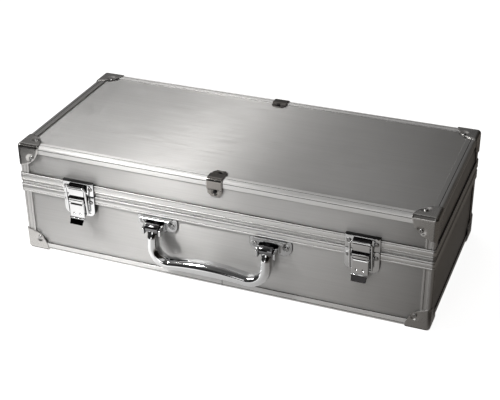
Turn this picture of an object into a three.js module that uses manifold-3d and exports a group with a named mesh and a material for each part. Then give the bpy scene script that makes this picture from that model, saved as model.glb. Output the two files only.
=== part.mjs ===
// Poker chip case: a two-layer aluminium-framed carrying case.
// Board panels slide into rolled angle extrusions, the extrusions are held together by
// pressed ball corners, and a channel rim closes the mouth of the base and of the lid.
// Millimetres, +Z up, front of the case towards -Y. The case stands on the flat
// bottom faces of its four lower ball corners at z = 0.

import * as THREE from 'three';
import { mergeVertices } from 'three/addons/utils/BufferGeometryUtils.js';
import { ConvexGeometry } from 'three/addons/geometries/ConvexGeometry.js';
import Module from 'manifold-3d';

const wasm = await Module();
wasm.setup();

// ---------------------------------------------------------------- driving dimensions
const W = 470;            // overall length over the ball corners (X)
const D = 211;            // overall depth over the ball corners (Y)
const H = 134;            // overall height, lid closed (Z)
const GAP = 0.3;          // clearance kept between touching pieces

const BRK_T = 0.9;        // sheet thickness of the ball corners and splice clips
const BRK_LEG = 27;       // radius of each quarter-round bracket face
const BRK_BALL = 4.2;     // ball radius at the bracket's point

const EXT_IN = BRK_T + GAP;   // extrusions sit this far inside the envelope
const EXT_T = 1.2;        // extrusion wall
const EXT_WIDE = 10.5;    // flange lying on the top or bottom face
const EXT_TALL = 9.0;     // flange lying on a side face
const EXT_R = 3.0;        // rounding of the extrusion's outer edge
const POST_W = 10.3;      // flange width of the upright corner posts
const SPLICE_X = 6;       // butt joint of the lower front extrusion

const PAN_IN = EXT_IN + EXT_T + GAP;  // face panels are recessed this far
const PAN_T = 3.2;        // panel board thickness
const RIM_T = 2.3;        // outer leg of the rims
const RIM_IN0 = PAN_IN + PAN_T + GAP; // inner leg of the rims, outer side
const RIM_IN1 = RIM_IN0 + 1.8;        // inner leg of the rims, inner side
const RIM_R = 3.4;        // plan radius of the rims' corners

const Z_BASE_RIM0 = 75;   // lower edge of the base rim
const Z_BASE_RIM1 = 84.3; // top of the base rim
const Z_LID_RIM0 = 84.9;  // underside of the lid rim
const Z_LID_STEP = 88;    // lower edge of the lid rim's outer leg
const Z_LID_RIM1 = 98;    // top of the lid rim's outer leg
const TONGUE_H = 2.6;     // tongue that locates the lid on the base

const LINE_T = 1.4;       // covered board lining the base
const CHIP_R = 20.3;      // radius of a chip row (40 mm chips)
const ROW_LEN = 173;      // length of a row: fifty chips and a little room
const ROWS = 10;
const ROW_PITCH = 43.6;
const TRAY_WALL = 1.8;
const TRAY_IN = RIM_IN1 + 0.5;        // tray edge to the envelope

const HANDLE_X = -3;      // middle of the handle
const HANDLE_HALF = 65;   // half the distance between the two handle arms
const HANDLE_PIVOT_OFF = 10;   // pivot in front of the front envelope plane
const HANDLE_PIVOT_Z = 66.5;
const HANDLE_DROP = 38.5; // pivot to the middle of the grip, handle hanging
const HANDLE_LEAN = 3.0;  // the grip hangs this much further out than the pivot
const HANDLE_BEND = 20;   // centre-line radius of the two bends

const LATCH_X = 161;      // latch centres, left and right
const LATCH_PIVOT_OFF = 5.0;
const LATCH_PIVOT_Z = 80.5;
const BAIL_PIVOT_OFF = 5.0;
const BAIL_PIVOT_Z = 63.2;
const BAIL_TOP_OFF = 8.5;
const BAIL_TOP_Z = 96.4;
const BAIL_X = 11.6;
const WIRE_R = 1.15;

const HINGE_X = 150;      // hinge centres, left and right
const HINGE_OFF = 3.4;    // hinge axis behind the back envelope plane
const HINGE_Z = 84.75;
const HINGE_HALF = 25;

// the front furniture stands further out than the hinges, so the body is set back
// until the whole object's box is centred on the origin
const FRONT_OUT = HANDLE_PIVOT_OFF + HANDLE_LEAN + 8.99;
const BACK_OUT = HINGE_OFF + 2.92;
const SHIFT_Y = (FRONT_OUT - BACK_OUT) / 2;

// ---------------------------------------------------------------- geometry helpers
function clean(geometry) {
  const g = geometry.index ? geometry.toNonIndexed() : geometry.clone();
  for (const name of Object.keys(g.attributes)) if (name !== 'position') g.deleteAttribute(name);
  return mergeVertices(g, 1e-4);
}
function solid(geometry) {
  const g = clean(geometry);
  return new wasm.Manifold(new wasm.Mesh({
    numProp: 3,
    vertProperties: new Float32Array(g.attributes.position.array),
    triVerts: new Uint32Array(g.index.array),
  }));
}
function geometryOf(manifold) {
  const m = manifold.getMesh();
  const n = m.vertProperties.length / m.numProp;
  const p = new Float32Array(n * 3);
  for (let i = 0; i < n; i++) for (let k = 0; k < 3; k++) p[3 * i + k] = m.vertProperties[i * m.numProp + k];
  const g = new THREE.BufferGeometry();
  g.setAttribute('position', new THREE.BufferAttribute(p, 3));
  g.setIndex(Array.from(m.triVerts));
  return g;
}
function join(...parts) { return parts.reduce((a, b) => a.add(b)); }

function box(x0, x1, y0, y1, z0, z1) {
  const g = new THREE.BoxGeometry(x1 - x0, y1 - y0, z1 - z0);
  g.translate((x0 + x1) / 2, (y0 + y1) / 2, (z0 + z1) / 2);
  return g;
}
// polygon pushed along an axis: 'x' takes [y, z] points, 'y' takes [z, x], 'z' takes [x, y]
function prism(points, axis, a0, a1) {
  const shape = new THREE.Shape(points.map(([u, v]) => new THREE.Vector2(u, v)));
  const g = new THREE.ExtrudeGeometry(shape, { depth: a1 - a0, bevelEnabled: false, steps: 1 });
  g.translate(0, 0, a0);
  const m = new THREE.Matrix4();
  if (axis === 'x') m.makeBasis(new THREE.Vector3(0, 1, 0), new THREE.Vector3(0, 0, 1), new THREE.Vector3(1, 0, 0));
  if (axis === 'y') m.makeBasis(new THREE.Vector3(0, 0, 1), new THREE.Vector3(1, 0, 0), new THREE.Vector3(0, 1, 0));
  if (axis !== 'z') g.applyMatrix4(m);
  return g;
}
function circle(cu, cv, r, sides, start = 0) {
  const p = [];
  for (let i = 0; i < sides; i++) {
    const a = start + (2 * Math.PI * i) / sides;
    p.push([cu + r * Math.cos(a), cv + r * Math.sin(a)]);
  }
  return p;
}
function rodX(r, x0, x1, y, z, sides = 16) { return prism(circle(y, z, r, sides, Math.PI / sides), 'x', x0, x1); }
function rodY(r, y0, y1, x, z, sides = 12) { return prism(circle(z, x, r, sides, Math.PI / sides), 'y', y0, y1); }
// rounded rectangle in a plane, corners listed as [u, v] with one radius per corner
function roundedOutline(u0, u1, v0, v1, r00, r10, r11, r01, n = 4) {
  const p = [];
  const corner = (cu, cv, r, a0) => {
    if (r <= 0) { p.push([cu, cv]); return; }
    const su = Math.sign(Math.cos(a0 + Math.PI / 4)), sv = Math.sign(Math.sin(a0 + Math.PI / 4));
    const ou = cu - su * r, ov = cv - sv * r;
    for (let i = 0; i <= n; i++) {
      const a = a0 + (Math.PI / 2) * (i / n);
      p.push([ou + r * Math.cos(a), ov + r * Math.sin(a)]);
    }
  };
  corner(u0, v0, r00, Math.PI);
  corner(u1, v0, r10, 1.5 * Math.PI);
  corner(u1, v1, r11, 0);
  corner(u0, v1, r01, 0.5 * Math.PI);
  return p;
}
// angle section: flange a along u, flange b along v, outer edge rounded at the origin
function angleSection(a, b, t, r, n = 3) {
  const p = [[0, b]];
  for (let i = 0; i <= n; i++) {
    const g = Math.PI + (Math.PI / 2) * (i / n);
    p.push([r + r * Math.cos(g), r + r * Math.sin(g)]);
  }
  p.push([a, 0], [a, t], [t, t], [t, b]);
  return p;
}
// closed frame: each profile point [t, z] runs round the rounded rectangle set in by t
function frameLoop(profile, n = 3) {
  const ring = (t) => {
    const r = Math.max(RIM_R - t, 0.25);
    return roundedOutline(-W / 2 + t, W / 2 - t, -D / 2 + t, D / 2 - t, r, r, r, r, n);
  };
  const rings = profile.map(([t, z]) => ring(t).map(([x, y]) => [x, y, z]));
  const m = rings[0].length, k = rings.length;
  const pos = rings.flat(2);
  const idx = [];
  let area = 0;
  for (let i = 0; i < k; i++) {
    const [a, b] = profile[i], [c, d] = profile[(i + 1) % k];
    area += a * d - c * b;
  }
  for (let i = 0; i < k; i++) for (let j = 0; j < m; j++) {
    const a = i * m + j, b = i * m + ((j + 1) % m), c = ((i + 1) % k) * m + j, d = ((i + 1) % k) * m + ((j + 1) % m);
    if (area > 0) idx.push(a, c, b, b, c, d); else idx.push(a, b, c, b, d, c);
  }
  const g = new THREE.BufferGeometry();
  g.setAttribute('position', new THREE.Float32BufferAttribute(pos, 3));
  g.setIndex(idx);
  return g;
}
// sweep of an ellipse along a path, radii given per station: rx across the path's plane, ry in it
function sweep(points, radii, across, sides) {
  const pos = [], idx = [];
  const k = points.length;
  for (let i = 0; i < k; i++) {
    const a = points[Math.max(i - 1, 0)], b = points[Math.min(i + 1, k - 1)];
    const tan = new THREE.Vector3().subVectors(b, a).normalize();
    const side = across(i, tan).normalize();
    const up = new THREE.Vector3().crossVectors(tan, side).normalize();
    for (let j = 0; j < sides; j++) {
      const g = (2 * Math.PI * (j + 0.5)) / sides;
      const p = points[i].clone().addScaledVector(side, radii[i][0] * Math.cos(g)).addScaledVector(up, radii[i][1] * Math.sin(g));
      pos.push(p.x, p.y, p.z);
    }
  }
  for (let i = 0; i < k - 1; i++) for (let j = 0; j < sides; j++) {
    const a = i * sides + j, b = i * sides + ((j + 1) % sides), c = a + sides, d = b + sides;
    idx.push(a, b, c, b, d, c);
  }
  for (let j = 1; j < sides - 1; j++) {
    idx.push(0, j + 1, j);
    const o = (k - 1) * sides;
    idx.push(o, o + j, o + j + 1);
  }
  const g = new THREE.BufferGeometry();
  g.setAttribute('position', new THREE.Float32BufferAttribute(pos, 3));
  g.setIndex(idx);
  return g;
}
function mirrored(geometry, sx, sy, sz) {
  const g = geometry.clone();
  const p = g.attributes.position;
  for (let i = 0; i < p.count; i++) p.setXYZ(i, p.getX(i) * sx, p.getY(i) * sy, p.getZ(i) * sz);
  if (sx * sy * sz < 0) {
    const a = Array.from(g.index.array);
    for (let i = 0; i < a.length; i += 3) { const t = a[i]; a[i] = a[i + 1]; a[i + 1] = t; }
    g.setIndex(a);
  }
  return g;
}

// ---------------------------------------------------------------- finishes
const finish = {
  panel: new THREE.MeshStandardMaterial({ color: 0xc4c4c3, metalness: 0.9, roughness: 0.42 }),
  frame: new THREE.MeshStandardMaterial({ color: 0xd6d7d8, metalness: 0.95, roughness: 0.3 }),
  corner: new THREE.MeshStandardMaterial({ color: 0xb9babb, metalness: 1.0, roughness: 0.16 }),
  chrome: new THREE.MeshStandardMaterial({ color: 0xdfe1e3, metalness: 1.0, roughness: 0.06 }),
  lining: new THREE.MeshStandardMaterial({ color: 0x17181a, metalness: 0.0, roughness: 0.95 }),
  tray: new THREE.MeshStandardMaterial({ color: 0x111214, metalness: 0.0, roughness: 0.9 }),
  foam: new THREE.MeshStandardMaterial({ color: 0x1c1d20, metalness: 0.0, roughness: 0.98 }),
};
const chipCase = new THREE.Group();
chipCase.position.y = SHIFT_Y;

function add(name, shape, material, place = null) {
  let g = shape.getMesh ? geometryOf(shape) : clean(shape);
  if (place) g = place(g);
  g.computeVertexNormals();
  const mesh = new THREE.Mesh(g, material);
  mesh.name = name;
  chipCase.add(mesh);
  return mesh;
}

// ---------------------------------------------------------------- board panels
const px = W / 2 - PAN_IN - 0.2, py = D / 2 - PAN_IN - 0.2;
const zBottom0 = PAN_IN, zBottom1 = PAN_IN + PAN_T;
const zTop1 = H - PAN_IN, zTop0 = H - PAN_IN - PAN_T;
const sideY = D / 2 - PAN_IN - PAN_T - GAP;
function panels(prefix, z0, z1) {
  add(`${prefix}_front_panel`, box(-px, px, -D / 2 + PAN_IN, -D / 2 + PAN_IN + PAN_T, z0, z1), finish.panel);
  add(`${prefix}_back_panel`, box(-px, px, D / 2 - PAN_IN - PAN_T, D / 2 - PAN_IN, z0, z1), finish.panel);
  add(`${prefix}_left_panel`, box(-W / 2 + PAN_IN, -W / 2 + PAN_IN + PAN_T, -sideY, sideY, z0, z1), finish.panel);
  add(`${prefix}_right_panel`, box(W / 2 - PAN_IN - PAN_T, W / 2 - PAN_IN, -sideY, sideY, z0, z1), finish.panel);
}
add('base_bottom_panel', box(-px, px, -py, py, zBottom0, zBottom1), finish.panel);
panels('base', zBottom1 + GAP, Z_BASE_RIM1 - 2.8 - GAP);
add('lid_top_panel', box(-px, px, -py, py, zTop0, zTop1), finish.panel);
panels('lid', Z_LID_RIM0 + 5.6 + GAP, zTop0 - GAP);

// ---------------------------------------------------------------- edge extrusions and posts
const ex = W / 2 - EXT_IN, ey = D / 2 - EXT_IN;
const exEnd = W / 2 - BRK_BALL - 0.4;   // long extrusions stop short of the ball
const wideSection = angleSection(EXT_WIDE, EXT_TALL, EXT_T, EXT_R);
// sy: -1 front, +1 back; top: extrusion of the lid's top or the base's bottom
function edgeX(name, sy, top, x0, x1) {
  const pts = wideSection.map(([u, v]) => [sy * (ey - u), top ? H - EXT_IN - v : EXT_IN + v]);
  add(name, prism(pts, 'x', x0, x1), finish.frame);
}
function edgeY(name, sx, top) {
  const pts = wideSection.map(([u, v]) => [top ? H - EXT_IN - v : EXT_IN + v, sx * (ex - u)]);
  const y = ey - EXT_WIDE - GAP;
  add(name, prism(pts, 'y', -y, y), finish.frame);
}
edgeX('base_edge_front_left', -1, false, -exEnd, SPLICE_X - GAP / 2);
edgeX('base_edge_front_right', -1, false, SPLICE_X + GAP / 2, exEnd);
edgeX('base_edge_back', 1, false, -exEnd, exEnd);
edgeY('base_edge_left', -1, false);
edgeY('base_edge_right', 1, false);
edgeX('lid_edge_front_left', -1, true, -exEnd, -GAP / 2);
edgeX('lid_edge_front_right', -1, true, GAP / 2, exEnd);
edgeX('lid_edge_back_left', 1, true, -exEnd, -GAP / 2);
edgeX('lid_edge_back_right', 1, true, GAP / 2, exEnd);
edgeY('lid_edge_left', -1, true);
edgeY('lid_edge_right', 1, true);

const corners = [['fl', -1, -1], ['fr', 1, -1], ['bl', -1, 1], ['br', 1, 1]];
const postSection = angleSection(POST_W, POST_W, EXT_T, EXT_R);
for (const [tag, sx, sy] of corners) {
  const pts = postSection.map(([u, v]) => [sx * (ex - u), sy * (ey - v)]);
  add(`base_post_${tag}`, prism(pts, 'z', EXT_IN + EXT_TALL + GAP, Z_BASE_RIM0 - GAP), finish.frame);
  add(`lid_post_${tag}`, prism(pts, 'z', Z_LID_RIM1 + GAP, H - EXT_IN - EXT_TALL - GAP), finish.frame);
}

// ---------------------------------------------------------------- rims of the mouth
add('base_rim', frameLoop([
  [0, Z_BASE_RIM0], [RIM_T, Z_BASE_RIM0], [RIM_T, Z_BASE_RIM1 - 2.8], [RIM_IN0, Z_BASE_RIM1 - 2.8],
  [RIM_IN0, 77], [RIM_IN1, 77], [RIM_IN1, Z_BASE_RIM1], [5.6, Z_BASE_RIM1], [5.6, Z_BASE_RIM1 + TONGUE_H],
  [4.2, Z_BASE_RIM1 + TONGUE_H], [4.2, Z_BASE_RIM1], [0.9, Z_BASE_RIM1], [0, Z_BASE_RIM1 - 0.9],
]), finish.frame);
add('lid_rim', frameLoop([
  [0, Z_LID_STEP], [1.5, Z_LID_STEP], [1.5, Z_LID_RIM0], [3.6, Z_LID_RIM0], [3.6, Z_LID_RIM0 + TONGUE_H],
  [6.2, Z_LID_RIM0 + TONGUE_H], [6.2, Z_LID_RIM0], [RIM_IN1, Z_LID_RIM0], [RIM_IN1, 94.6], [RIM_IN0, 94.6],
  [RIM_IN0, Z_LID_RIM0 + 5.6], [RIM_T, Z_LID_RIM0 + 5.6], [RIM_T, Z_LID_RIM1], [0.8, Z_LID_RIM1], [0, Z_LID_RIM1 - 0.8],
]), finish.frame);

// ---------------------------------------------------------------- ball corners
function roundedCornerBlock(inset, far, r) {
  const c = BRK_BALL, pts = [], n = 3;
  const dirs = [];
  for (let i = 0; i <= n; i++) for (let j = 0; j <= n - i; j++) {
    const k = n - i - j;
    dirs.push(new THREE.Vector3(i, j, k).normalize());
  }
  for (const d of dirs) {
    const p = new THREE.Vector3(c - r * d.x, c - r * d.y, c - r * d.z);
    pts.push(p);
    if (d.x < 1e-6) pts.push(new THREE.Vector3(far, p.y, p.z));
    if (d.y < 1e-6) pts.push(new THREE.Vector3(p.x, far, p.z));
    if (d.z < 1e-6) pts.push(new THREE.Vector3(p.x, p.y, far));
  }
  pts.push(new THREE.Vector3(far, far, far), new THREE.Vector3(inset, far, far), new THREE.Vector3(far, inset, far), new THREE.Vector3(far, far, inset));
  return new ConvexGeometry(pts);
}
const ballCorner = geometryOf(
  solid(roundedCornerBlock(0, 40, BRK_BALL))
    .subtract(solid(roundedCornerBlock(BRK_T, 44, BRK_BALL - BRK_T)))
    .intersect(solid(new THREE.SphereGeometry(BRK_LEG, 28, 14))));
for (const [tag, sx, sy] of corners) for (const top of [false, true]) {
  add(`${top ? 'lid' : 'base'}_corner_${tag}`, ballCorner, finish.corner, (g) => {
    const m = mirrored(g, -sx, -sy, top ? -1 : 1);
    m.translate(sx * W / 2, sy * D / 2, top ? H : 0);
    return m;
  });
}

// ---------------------------------------------------------------- splice clips on the lid's long edges
for (const [tag, sy] of [['front', -1], ['back', 1]]) {
  const leg = 21.5, half = 9;
  const outer = angleSection(leg, leg, BRK_T, BRK_BALL, 4).slice(0, 6);
  const inner = angleSection(leg, leg, BRK_T, BRK_BALL - BRK_T, 4).slice(1, 6).map(([u, v]) => [u + BRK_T, v + BRK_T]).reverse();
  const sec = [...outer, [leg, 0], [leg, BRK_T], ...inner, [BRK_T, leg]].map(([u, v]) => [sy * (D / 2 - u), H - v]);
  add(`lid_clip_${tag}`, prism(sec, 'x', -half, half), finish.corner);
}

// ---------------------------------------------------------------- lining, trays and lid pad
const lineOut = RIM_IN0, lineIn = RIM_IN0 + LINE_T;
const zLine0 = zBottom1 + GAP, zLine1 = zLine0 + 1.2;
add('base_lining',
  solid(box(-W / 2 + lineOut, W / 2 - lineOut, -D / 2 + lineOut, D / 2 - lineOut, zLine0, 76.6))
    .subtract(solid(box(-W / 2 + lineIn, W / 2 - lineIn, -D / 2 + lineIn, D / 2 - lineIn, zLine1, 80))),
  finish.lining);

const tx = W / 2 - TRAY_IN, ty = D / 2 - TRAY_IN;
const zLow = zLine1 + 0.4, zLowDeck = zLow + TRAY_WALL + CHIP_R;
const zUp = zLowDeck + CHIP_R + 1.0, zUpDeck = zUp + TRAY_WALL + CHIP_R;
function halfRound(r, x, y0, y1, z, n = 8) {
  const p = [];
  for (let i = 0; i <= n; i++) {
    const a = Math.PI + (Math.PI * i) / n;
    p.push([z + r * Math.sin(a), x + r * Math.cos(a)]);
  }
  p.push([z + 5, x + r], [z + 5, x - r]);
  return prism(p, 'y', y0, y1);
}
function tray(z0, deck, wallTop) {
  let body = solid(box(-tx, tx, -ty, ty, z0, deck));
  let core = solid(box(-tx + TRAY_WALL, tx - TRAY_WALL, -ty + TRAY_WALL, ty - TRAY_WALL, z0 - 2, deck - TRAY_WALL));
  for (let i = 0; i < ROWS; i++) {
    const x = (i - (ROWS - 1) / 2) * ROW_PITCH;
    body = body.subtract(solid(halfRound(CHIP_R, x, -ROW_LEN / 2, ROW_LEN / 2, deck)));
    core = core.subtract(solid(halfRound(CHIP_R + TRAY_WALL, x, -ROW_LEN / 2 - TRAY_WALL, ROW_LEN / 2 + TRAY_WALL, deck)));
  }
  body = body.subtract(core);
  if (wallTop > deck) {
    body = body.add(solid(box(-tx, tx, -ty, ty, deck - 0.5, wallTop))
      .subtract(solid(box(-tx + 3, tx - 3, -ty + 3, ty - 3, deck - 2, wallTop + 2))));
  }
  return body;
}
add('chip_tray_lower', tray(zLow, zLowDeck, zUp - GAP), finish.tray);
add('chip_tray_upper', tray(zUp, zUpDeck, 0), finish.tray);
const zPad = zUpDeck + CHIP_R + 1.4;
add('lid_pad', box(-W / 2 + RIM_IN1 + 0.5, W / 2 - RIM_IN1 - 0.5, -D / 2 + RIM_IN1 + 0.5, D / 2 - RIM_IN1 - 0.5, zPad, zTop0 - GAP), finish.foam);

// ---------------------------------------------------------------- handle and its brackets
const F = (off) => -D / 2 - off;     // y of a plane in front of the case by off
const B = (off) => D / 2 + off;      // y of a plane behind the case by off
for (const [tag, cx] of [['left', HANDLE_X - HANDLE_HALF], ['right', HANDLE_X + HANDLE_HALF]]) {
  const zt = Z_BASE_RIM0 - GAP, zb = 56.6, back = -PAN_IN + GAP;
  const outline = roundedOutline(zb, zt, cx - 24, cx + 24, 9, 0, 0, 9);
  const parts = [
    solid(prism(outline, 'y', F(back + 1.4), F(back))),
    solid(box(cx - 18.5, cx + 18.5, F(6.2), F(back + 0.2), zt - 1.3, zt)),
    solid(rodX(2.0, cx - 10.3, cx + 10.3, F(HANDLE_PIVOT_OFF), HANDLE_PIVOT_Z, 14)),
  ];
  for (const s of [-1, 1]) {
    const x0 = Math.min(cx + s * 8.5, cx + s * 10.3), x1 = Math.max(cx + s * 8.5, cx + s * 10.3);
    const ear = [[F(back + 0.2), 59.2], [F(9.5), 59.6], [F(15.6), 60.0], [F(15.6), 67.0], [F(14.6), 67.9], [F(4.0), 71.0], [F(back + 0.2), 71.4]];
    parts.push(solid(prism(ear, 'x', x0, x1)));
    parts.push(solid(rodY(2.9, F(back + 2.6), F(back + 0.2), cx + s * 17.2, 66.2, 12)));
  }
  add(`handle_bracket_${tag}`, join(...parts), finish.chrome);
}
{
  // centre line of the handle in its own plane: s runs down from the pivots
  const pts = [], rad = [];
  const put = (x, s, rx, ry) => {
    const k = s / HANDLE_DROP;
    pts.push(new THREE.Vector3(HANDLE_X + x, F(HANDLE_PIVOT_OFF + HANDLE_LEAN * k), HANDLE_PIVOT_Z - s));
    rad.push([rx, ry]);
  };
  const drop = HANDLE_DROP, hb = HANDLE_BEND, hw = HANDLE_HALF;
  const arch = (x) => 2.8 * (1 - (x / (hw - hb)) ** 2);
  const half = [];
  for (const s of [3.0, 9, drop - hb]) half.push([-hw, s, s < 5 ? 5.8 : 8.6, s < 5 ? 6.0 : 6.3]);
  for (let i = 1; i <= 5; i++) {
    const a = (Math.PI / 2) * (i / 5);
    half.push([-hw + hb - hb * Math.cos(a), drop - hb + hb * Math.sin(a), 8.6 - 0.3 * (i / 5), 6.3 + 0.6 * (i / 5)]);
  }
  for (const x of [-36, -26, -14]) half.push([x, drop - arch(x), 8.3 + 1.0 * (1 - Math.abs(x) / 45), 7.0 + 1.5 * (1 - Math.abs(x) / 45)]);
  for (const [x, s, a, b] of half) put(x, s, a, b);
  put(0, drop - arch(0), 9.3, 8.5);
  for (const [x, s, a, b] of half.slice().reverse()) put(-x, s, a, b);
  let h = solid(sweep(pts, rad, () => new THREE.Vector3(0, 1, 0), 12));
  for (const s of [-1, 1]) {
    const cx = HANDLE_X + s * HANDLE_HALF;
    h = h.add(solid(rodX(5.4, cx - 7.9, cx + 7.9, F(HANDLE_PIVOT_OFF), HANDLE_PIVOT_Z, 14)));
  }
  for (const s of [-1, 1]) {
    const cx = HANDLE_X + s * HANDLE_HALF;
    h = h.subtract(solid(rodX(2.4, cx - 12, cx + 12, F(HANDLE_PIVOT_OFF), HANDLE_PIVOT_Z, 12)));
  }
  add('handle', h, finish.chrome);
}

// ---------------------------------------------------------------- draw latches
for (const [tag, cx] of [['left', -LATCH_X], ['right', LATCH_X]]) {
  const half = 18.5;
  // keeper on the lid: plate, top lip and the pad that the bail pulls down on
  const hook = [[F(1.4), 98.6], [F(4.9), 98.6], [F(6.2), 98.0], [F(6.9), 96.7], [F(6.9), 85.4], [F(5.7), 85.4], [F(5.7), 96.2], [F(4.6), 97.3], [F(1.4), 97.3]];
  const keeper = [
    solid(box(cx - half, cx + half, F(1.5), F(0.3), Z_LID_RIM0 + 0.1, 101)),
    solid(box(cx - half, cx + half, F(4.2), F(-PAN_IN + 0.4), 99.8, 101)),
    solid(prism(hook, 'x', cx - 9, cx + 9)),
  ];
  for (const s of [-1, 1]) keeper.push(solid(rodY(2.6, F(2.7), F(1.4), cx + s * 14.6, 93.4, 12)));
  add(`latch_keeper_${tag}`, join(...keeper), finish.chrome);

  // base plate on the base: shallow pressed pan with two ears and the lever's pin
  const z0 = 59.3, z1 = Z_BASE_RIM1;
  const plate = roundedOutline(z0, z1, cx - half, cx + half, 7, 0.01, 0.01, 7);
  const wallOut = roundedOutline(z0, Z_BASE_RIM0 - GAP, cx - half, cx + half, 7, 0.01, 0.01, 7);
  const wallIn = roundedOutline(z0 + 1.2, Z_BASE_RIM0 + 5, cx - half + 1.2, cx + half - 1.2, 5.8, 0.01, 0.01, 5.8);
  let pan = solid(prism(wallOut, 'y', F(0.5), F(-PAN_IN + 0.4))).subtract(solid(prism(wallIn, 'y', F(1), F(-PAN_IN - 2))));
  pan = pan.add(solid(prism(plate, 'y', F(1.5), F(0.3))));
  for (const s of [-1, 1]) {
    const a = cx + s * 9.3, b = cx + s * 10.1;
    pan = pan.add(solid(prism([[F(1.4), 76.6], [F(5.6), 77.2], [F(7.6), 79.0], [F(7.6), 82.0], [F(5.6), 83.7], [F(1.4), 83.7]], 'x', Math.min(a, b), Math.max(a, b))));
    pan = pan.add(solid(rodY(2.6, F(2.7), F(1.4), cx + s * 14.6, 77.2, 12)));
  }
  pan = pan.add(solid(rodX(1.1, cx - 10.1, cx + 10.1, F(LATCH_PIVOT_OFF), LATCH_PIVOT_Z, 10)));
  add(`latch_base_${tag}`, pan, finish.chrome);

  // lever: rolled barrel on the pin, flat front, side walls, flared finger tab
  const face = [[F(7.0), 81], [F(8.2), 81], [F(8.2), 59.6], [F(9.3), 58.4], [F(13.0), 53.2], [F(12.1), 52.5], [F(8.5), 57.5], [F(7.0), 59.0]];
  let lever = solid(prism(face, 'x', cx - 9, cx + 9));
  lever = lever.subtract(solid(box(cx - 20, cx - 7.6, F(15), F(8.6), 50, 58.6))).subtract(solid(box(cx + 7.6, cx + 20, F(15), F(8.6), 50, 58.6)));
  for (const s of [-1, 1]) {
    const a = cx + s * 7.8, b = cx + s * 9.0;
    lever = lever.add(solid(prism([[F(3.0), 61.5], [F(7.4), 59.4], [F(7.4), 76], [F(5.4), 75.2], [F(3.0), 71]], 'x', Math.min(a, b), Math.max(a, b))));
  }
  lever = lever.add(solid(rodX(3.2, cx - 9, cx + 9, F(LATCH_PIVOT_OFF), LATCH_PIVOT_Z, 16)));
  lever = lever.subtract(solid(box(cx - 7, cx + 7, F(9), F(6), 75.6, 77.2)));
  lever = lever.subtract(solid(rodX(1.5, cx - 12, cx + 12, F(LATCH_PIVOT_OFF), LATCH_PIVOT_Z, 12)));
  lever = lever.subtract(solid(rodX(1.5, cx - 12, cx + 12, F(BAIL_PIVOT_OFF), BAIL_PIVOT_Z, 12)));
  add(`latch_lever_${tag}`, lever, finish.chrome);

  // bail: bent wire loop from the lever's side walls up to the keeper
  const P = (x, off, z) => new THREE.Vector3(cx + x, F(off), z);
  const path = [P(-6.9, BAIL_PIVOT_OFF, BAIL_PIVOT_Z), P(-10.4, BAIL_PIVOT_OFF, BAIL_PIVOT_Z), P(-11.3, BAIL_PIVOT_OFF + 0.03, BAIL_PIVOT_Z + 0.4),
    P(-BAIL_X, BAIL_PIVOT_OFF + 0.1, BAIL_PIVOT_Z + 1.4), P(-BAIL_X, BAIL_TOP_OFF - 0.3, BAIL_TOP_Z - 3.0), P(-10.7, BAIL_TOP_OFF - 0.05, BAIL_TOP_Z - 0.8), P(-8.6, BAIL_TOP_OFF, BAIL_TOP_Z)];
  const all = path.concat(path.slice().reverse().map((p) => new THREE.Vector3(2 * cx - p.x, p.y, p.z)));
  add(`latch_bail_${tag}`, sweep(all, all.map(() => [WIRE_R, WIRE_R]), () => new THREE.Vector3(0, -1, 0.0961), 8), finish.chrome);
}

// ---------------------------------------------------------------- hinges
for (const [tag, cx] of [['left', -HINGE_X], ['right', HINGE_X]]) {
  const h = HINGE_HALF, k = 8.7;
  const base = [
    solid(box(cx - h, cx + h, B(0.3), B(1.5), 62, 81.4)),
    solid(box(cx - h, cx + h, B(-PAN_IN + 0.4), B(0.4), 62, Z_BASE_RIM0 - GAP)),
    solid(rodX(1.2, cx - h, cx + h, B(HINGE_OFF), HINGE_Z, 12)),
  ];
  for (const s of [-1, 1]) {
    const a = Math.min(cx + s * 9, cx + s * h), b = Math.max(cx + s * 9, cx + s * h);
    base.push(solid(rodX(3.0, a, b, B(HINGE_OFF), HINGE_Z, 14)));
    base.push(solid(box(a, b, B(0.45), B(2.4), 80.4, HINGE_Z)));
    base.push(solid(rodY(2.4, B(1.4), B(2.6), cx + s * 18, 68, 12)));
  }
  add(`hinge_base_leaf_${tag}`, join(...base), finish.chrome);
  let lid = solid(box(cx - h, cx + h, B(0.3), B(1.5), 88.2, Z_LID_RIM1 - 0.2));
  lid = lid.add(solid(box(cx - k, cx + k, B(0.45), B(2.4), HINGE_Z, 89)));
  lid = lid.add(solid(rodX(3.0, cx - k, cx + k, B(HINGE_OFF), HINGE_Z, 14)));
  lid = lid.subtract(solid(rodX(1.6, cx - k - 3, cx + k + 3, B(HINGE_OFF), HINGE_Z, 12)));
  for (const s of [-1, 1]) lid = lid.add(solid(rodY(2.4, B(1.4), B(2.6), cx + s * 18, 93.4, 12)));
  add(`hinge_lid_leaf_${tag}`, lid, finish.chrome);
}

export default chipCase;
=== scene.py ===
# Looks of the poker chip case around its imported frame. Blender 4.5, metres, +Z up.
import math

import bmesh
import bpy
from mathutils import Matrix, Vector


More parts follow.
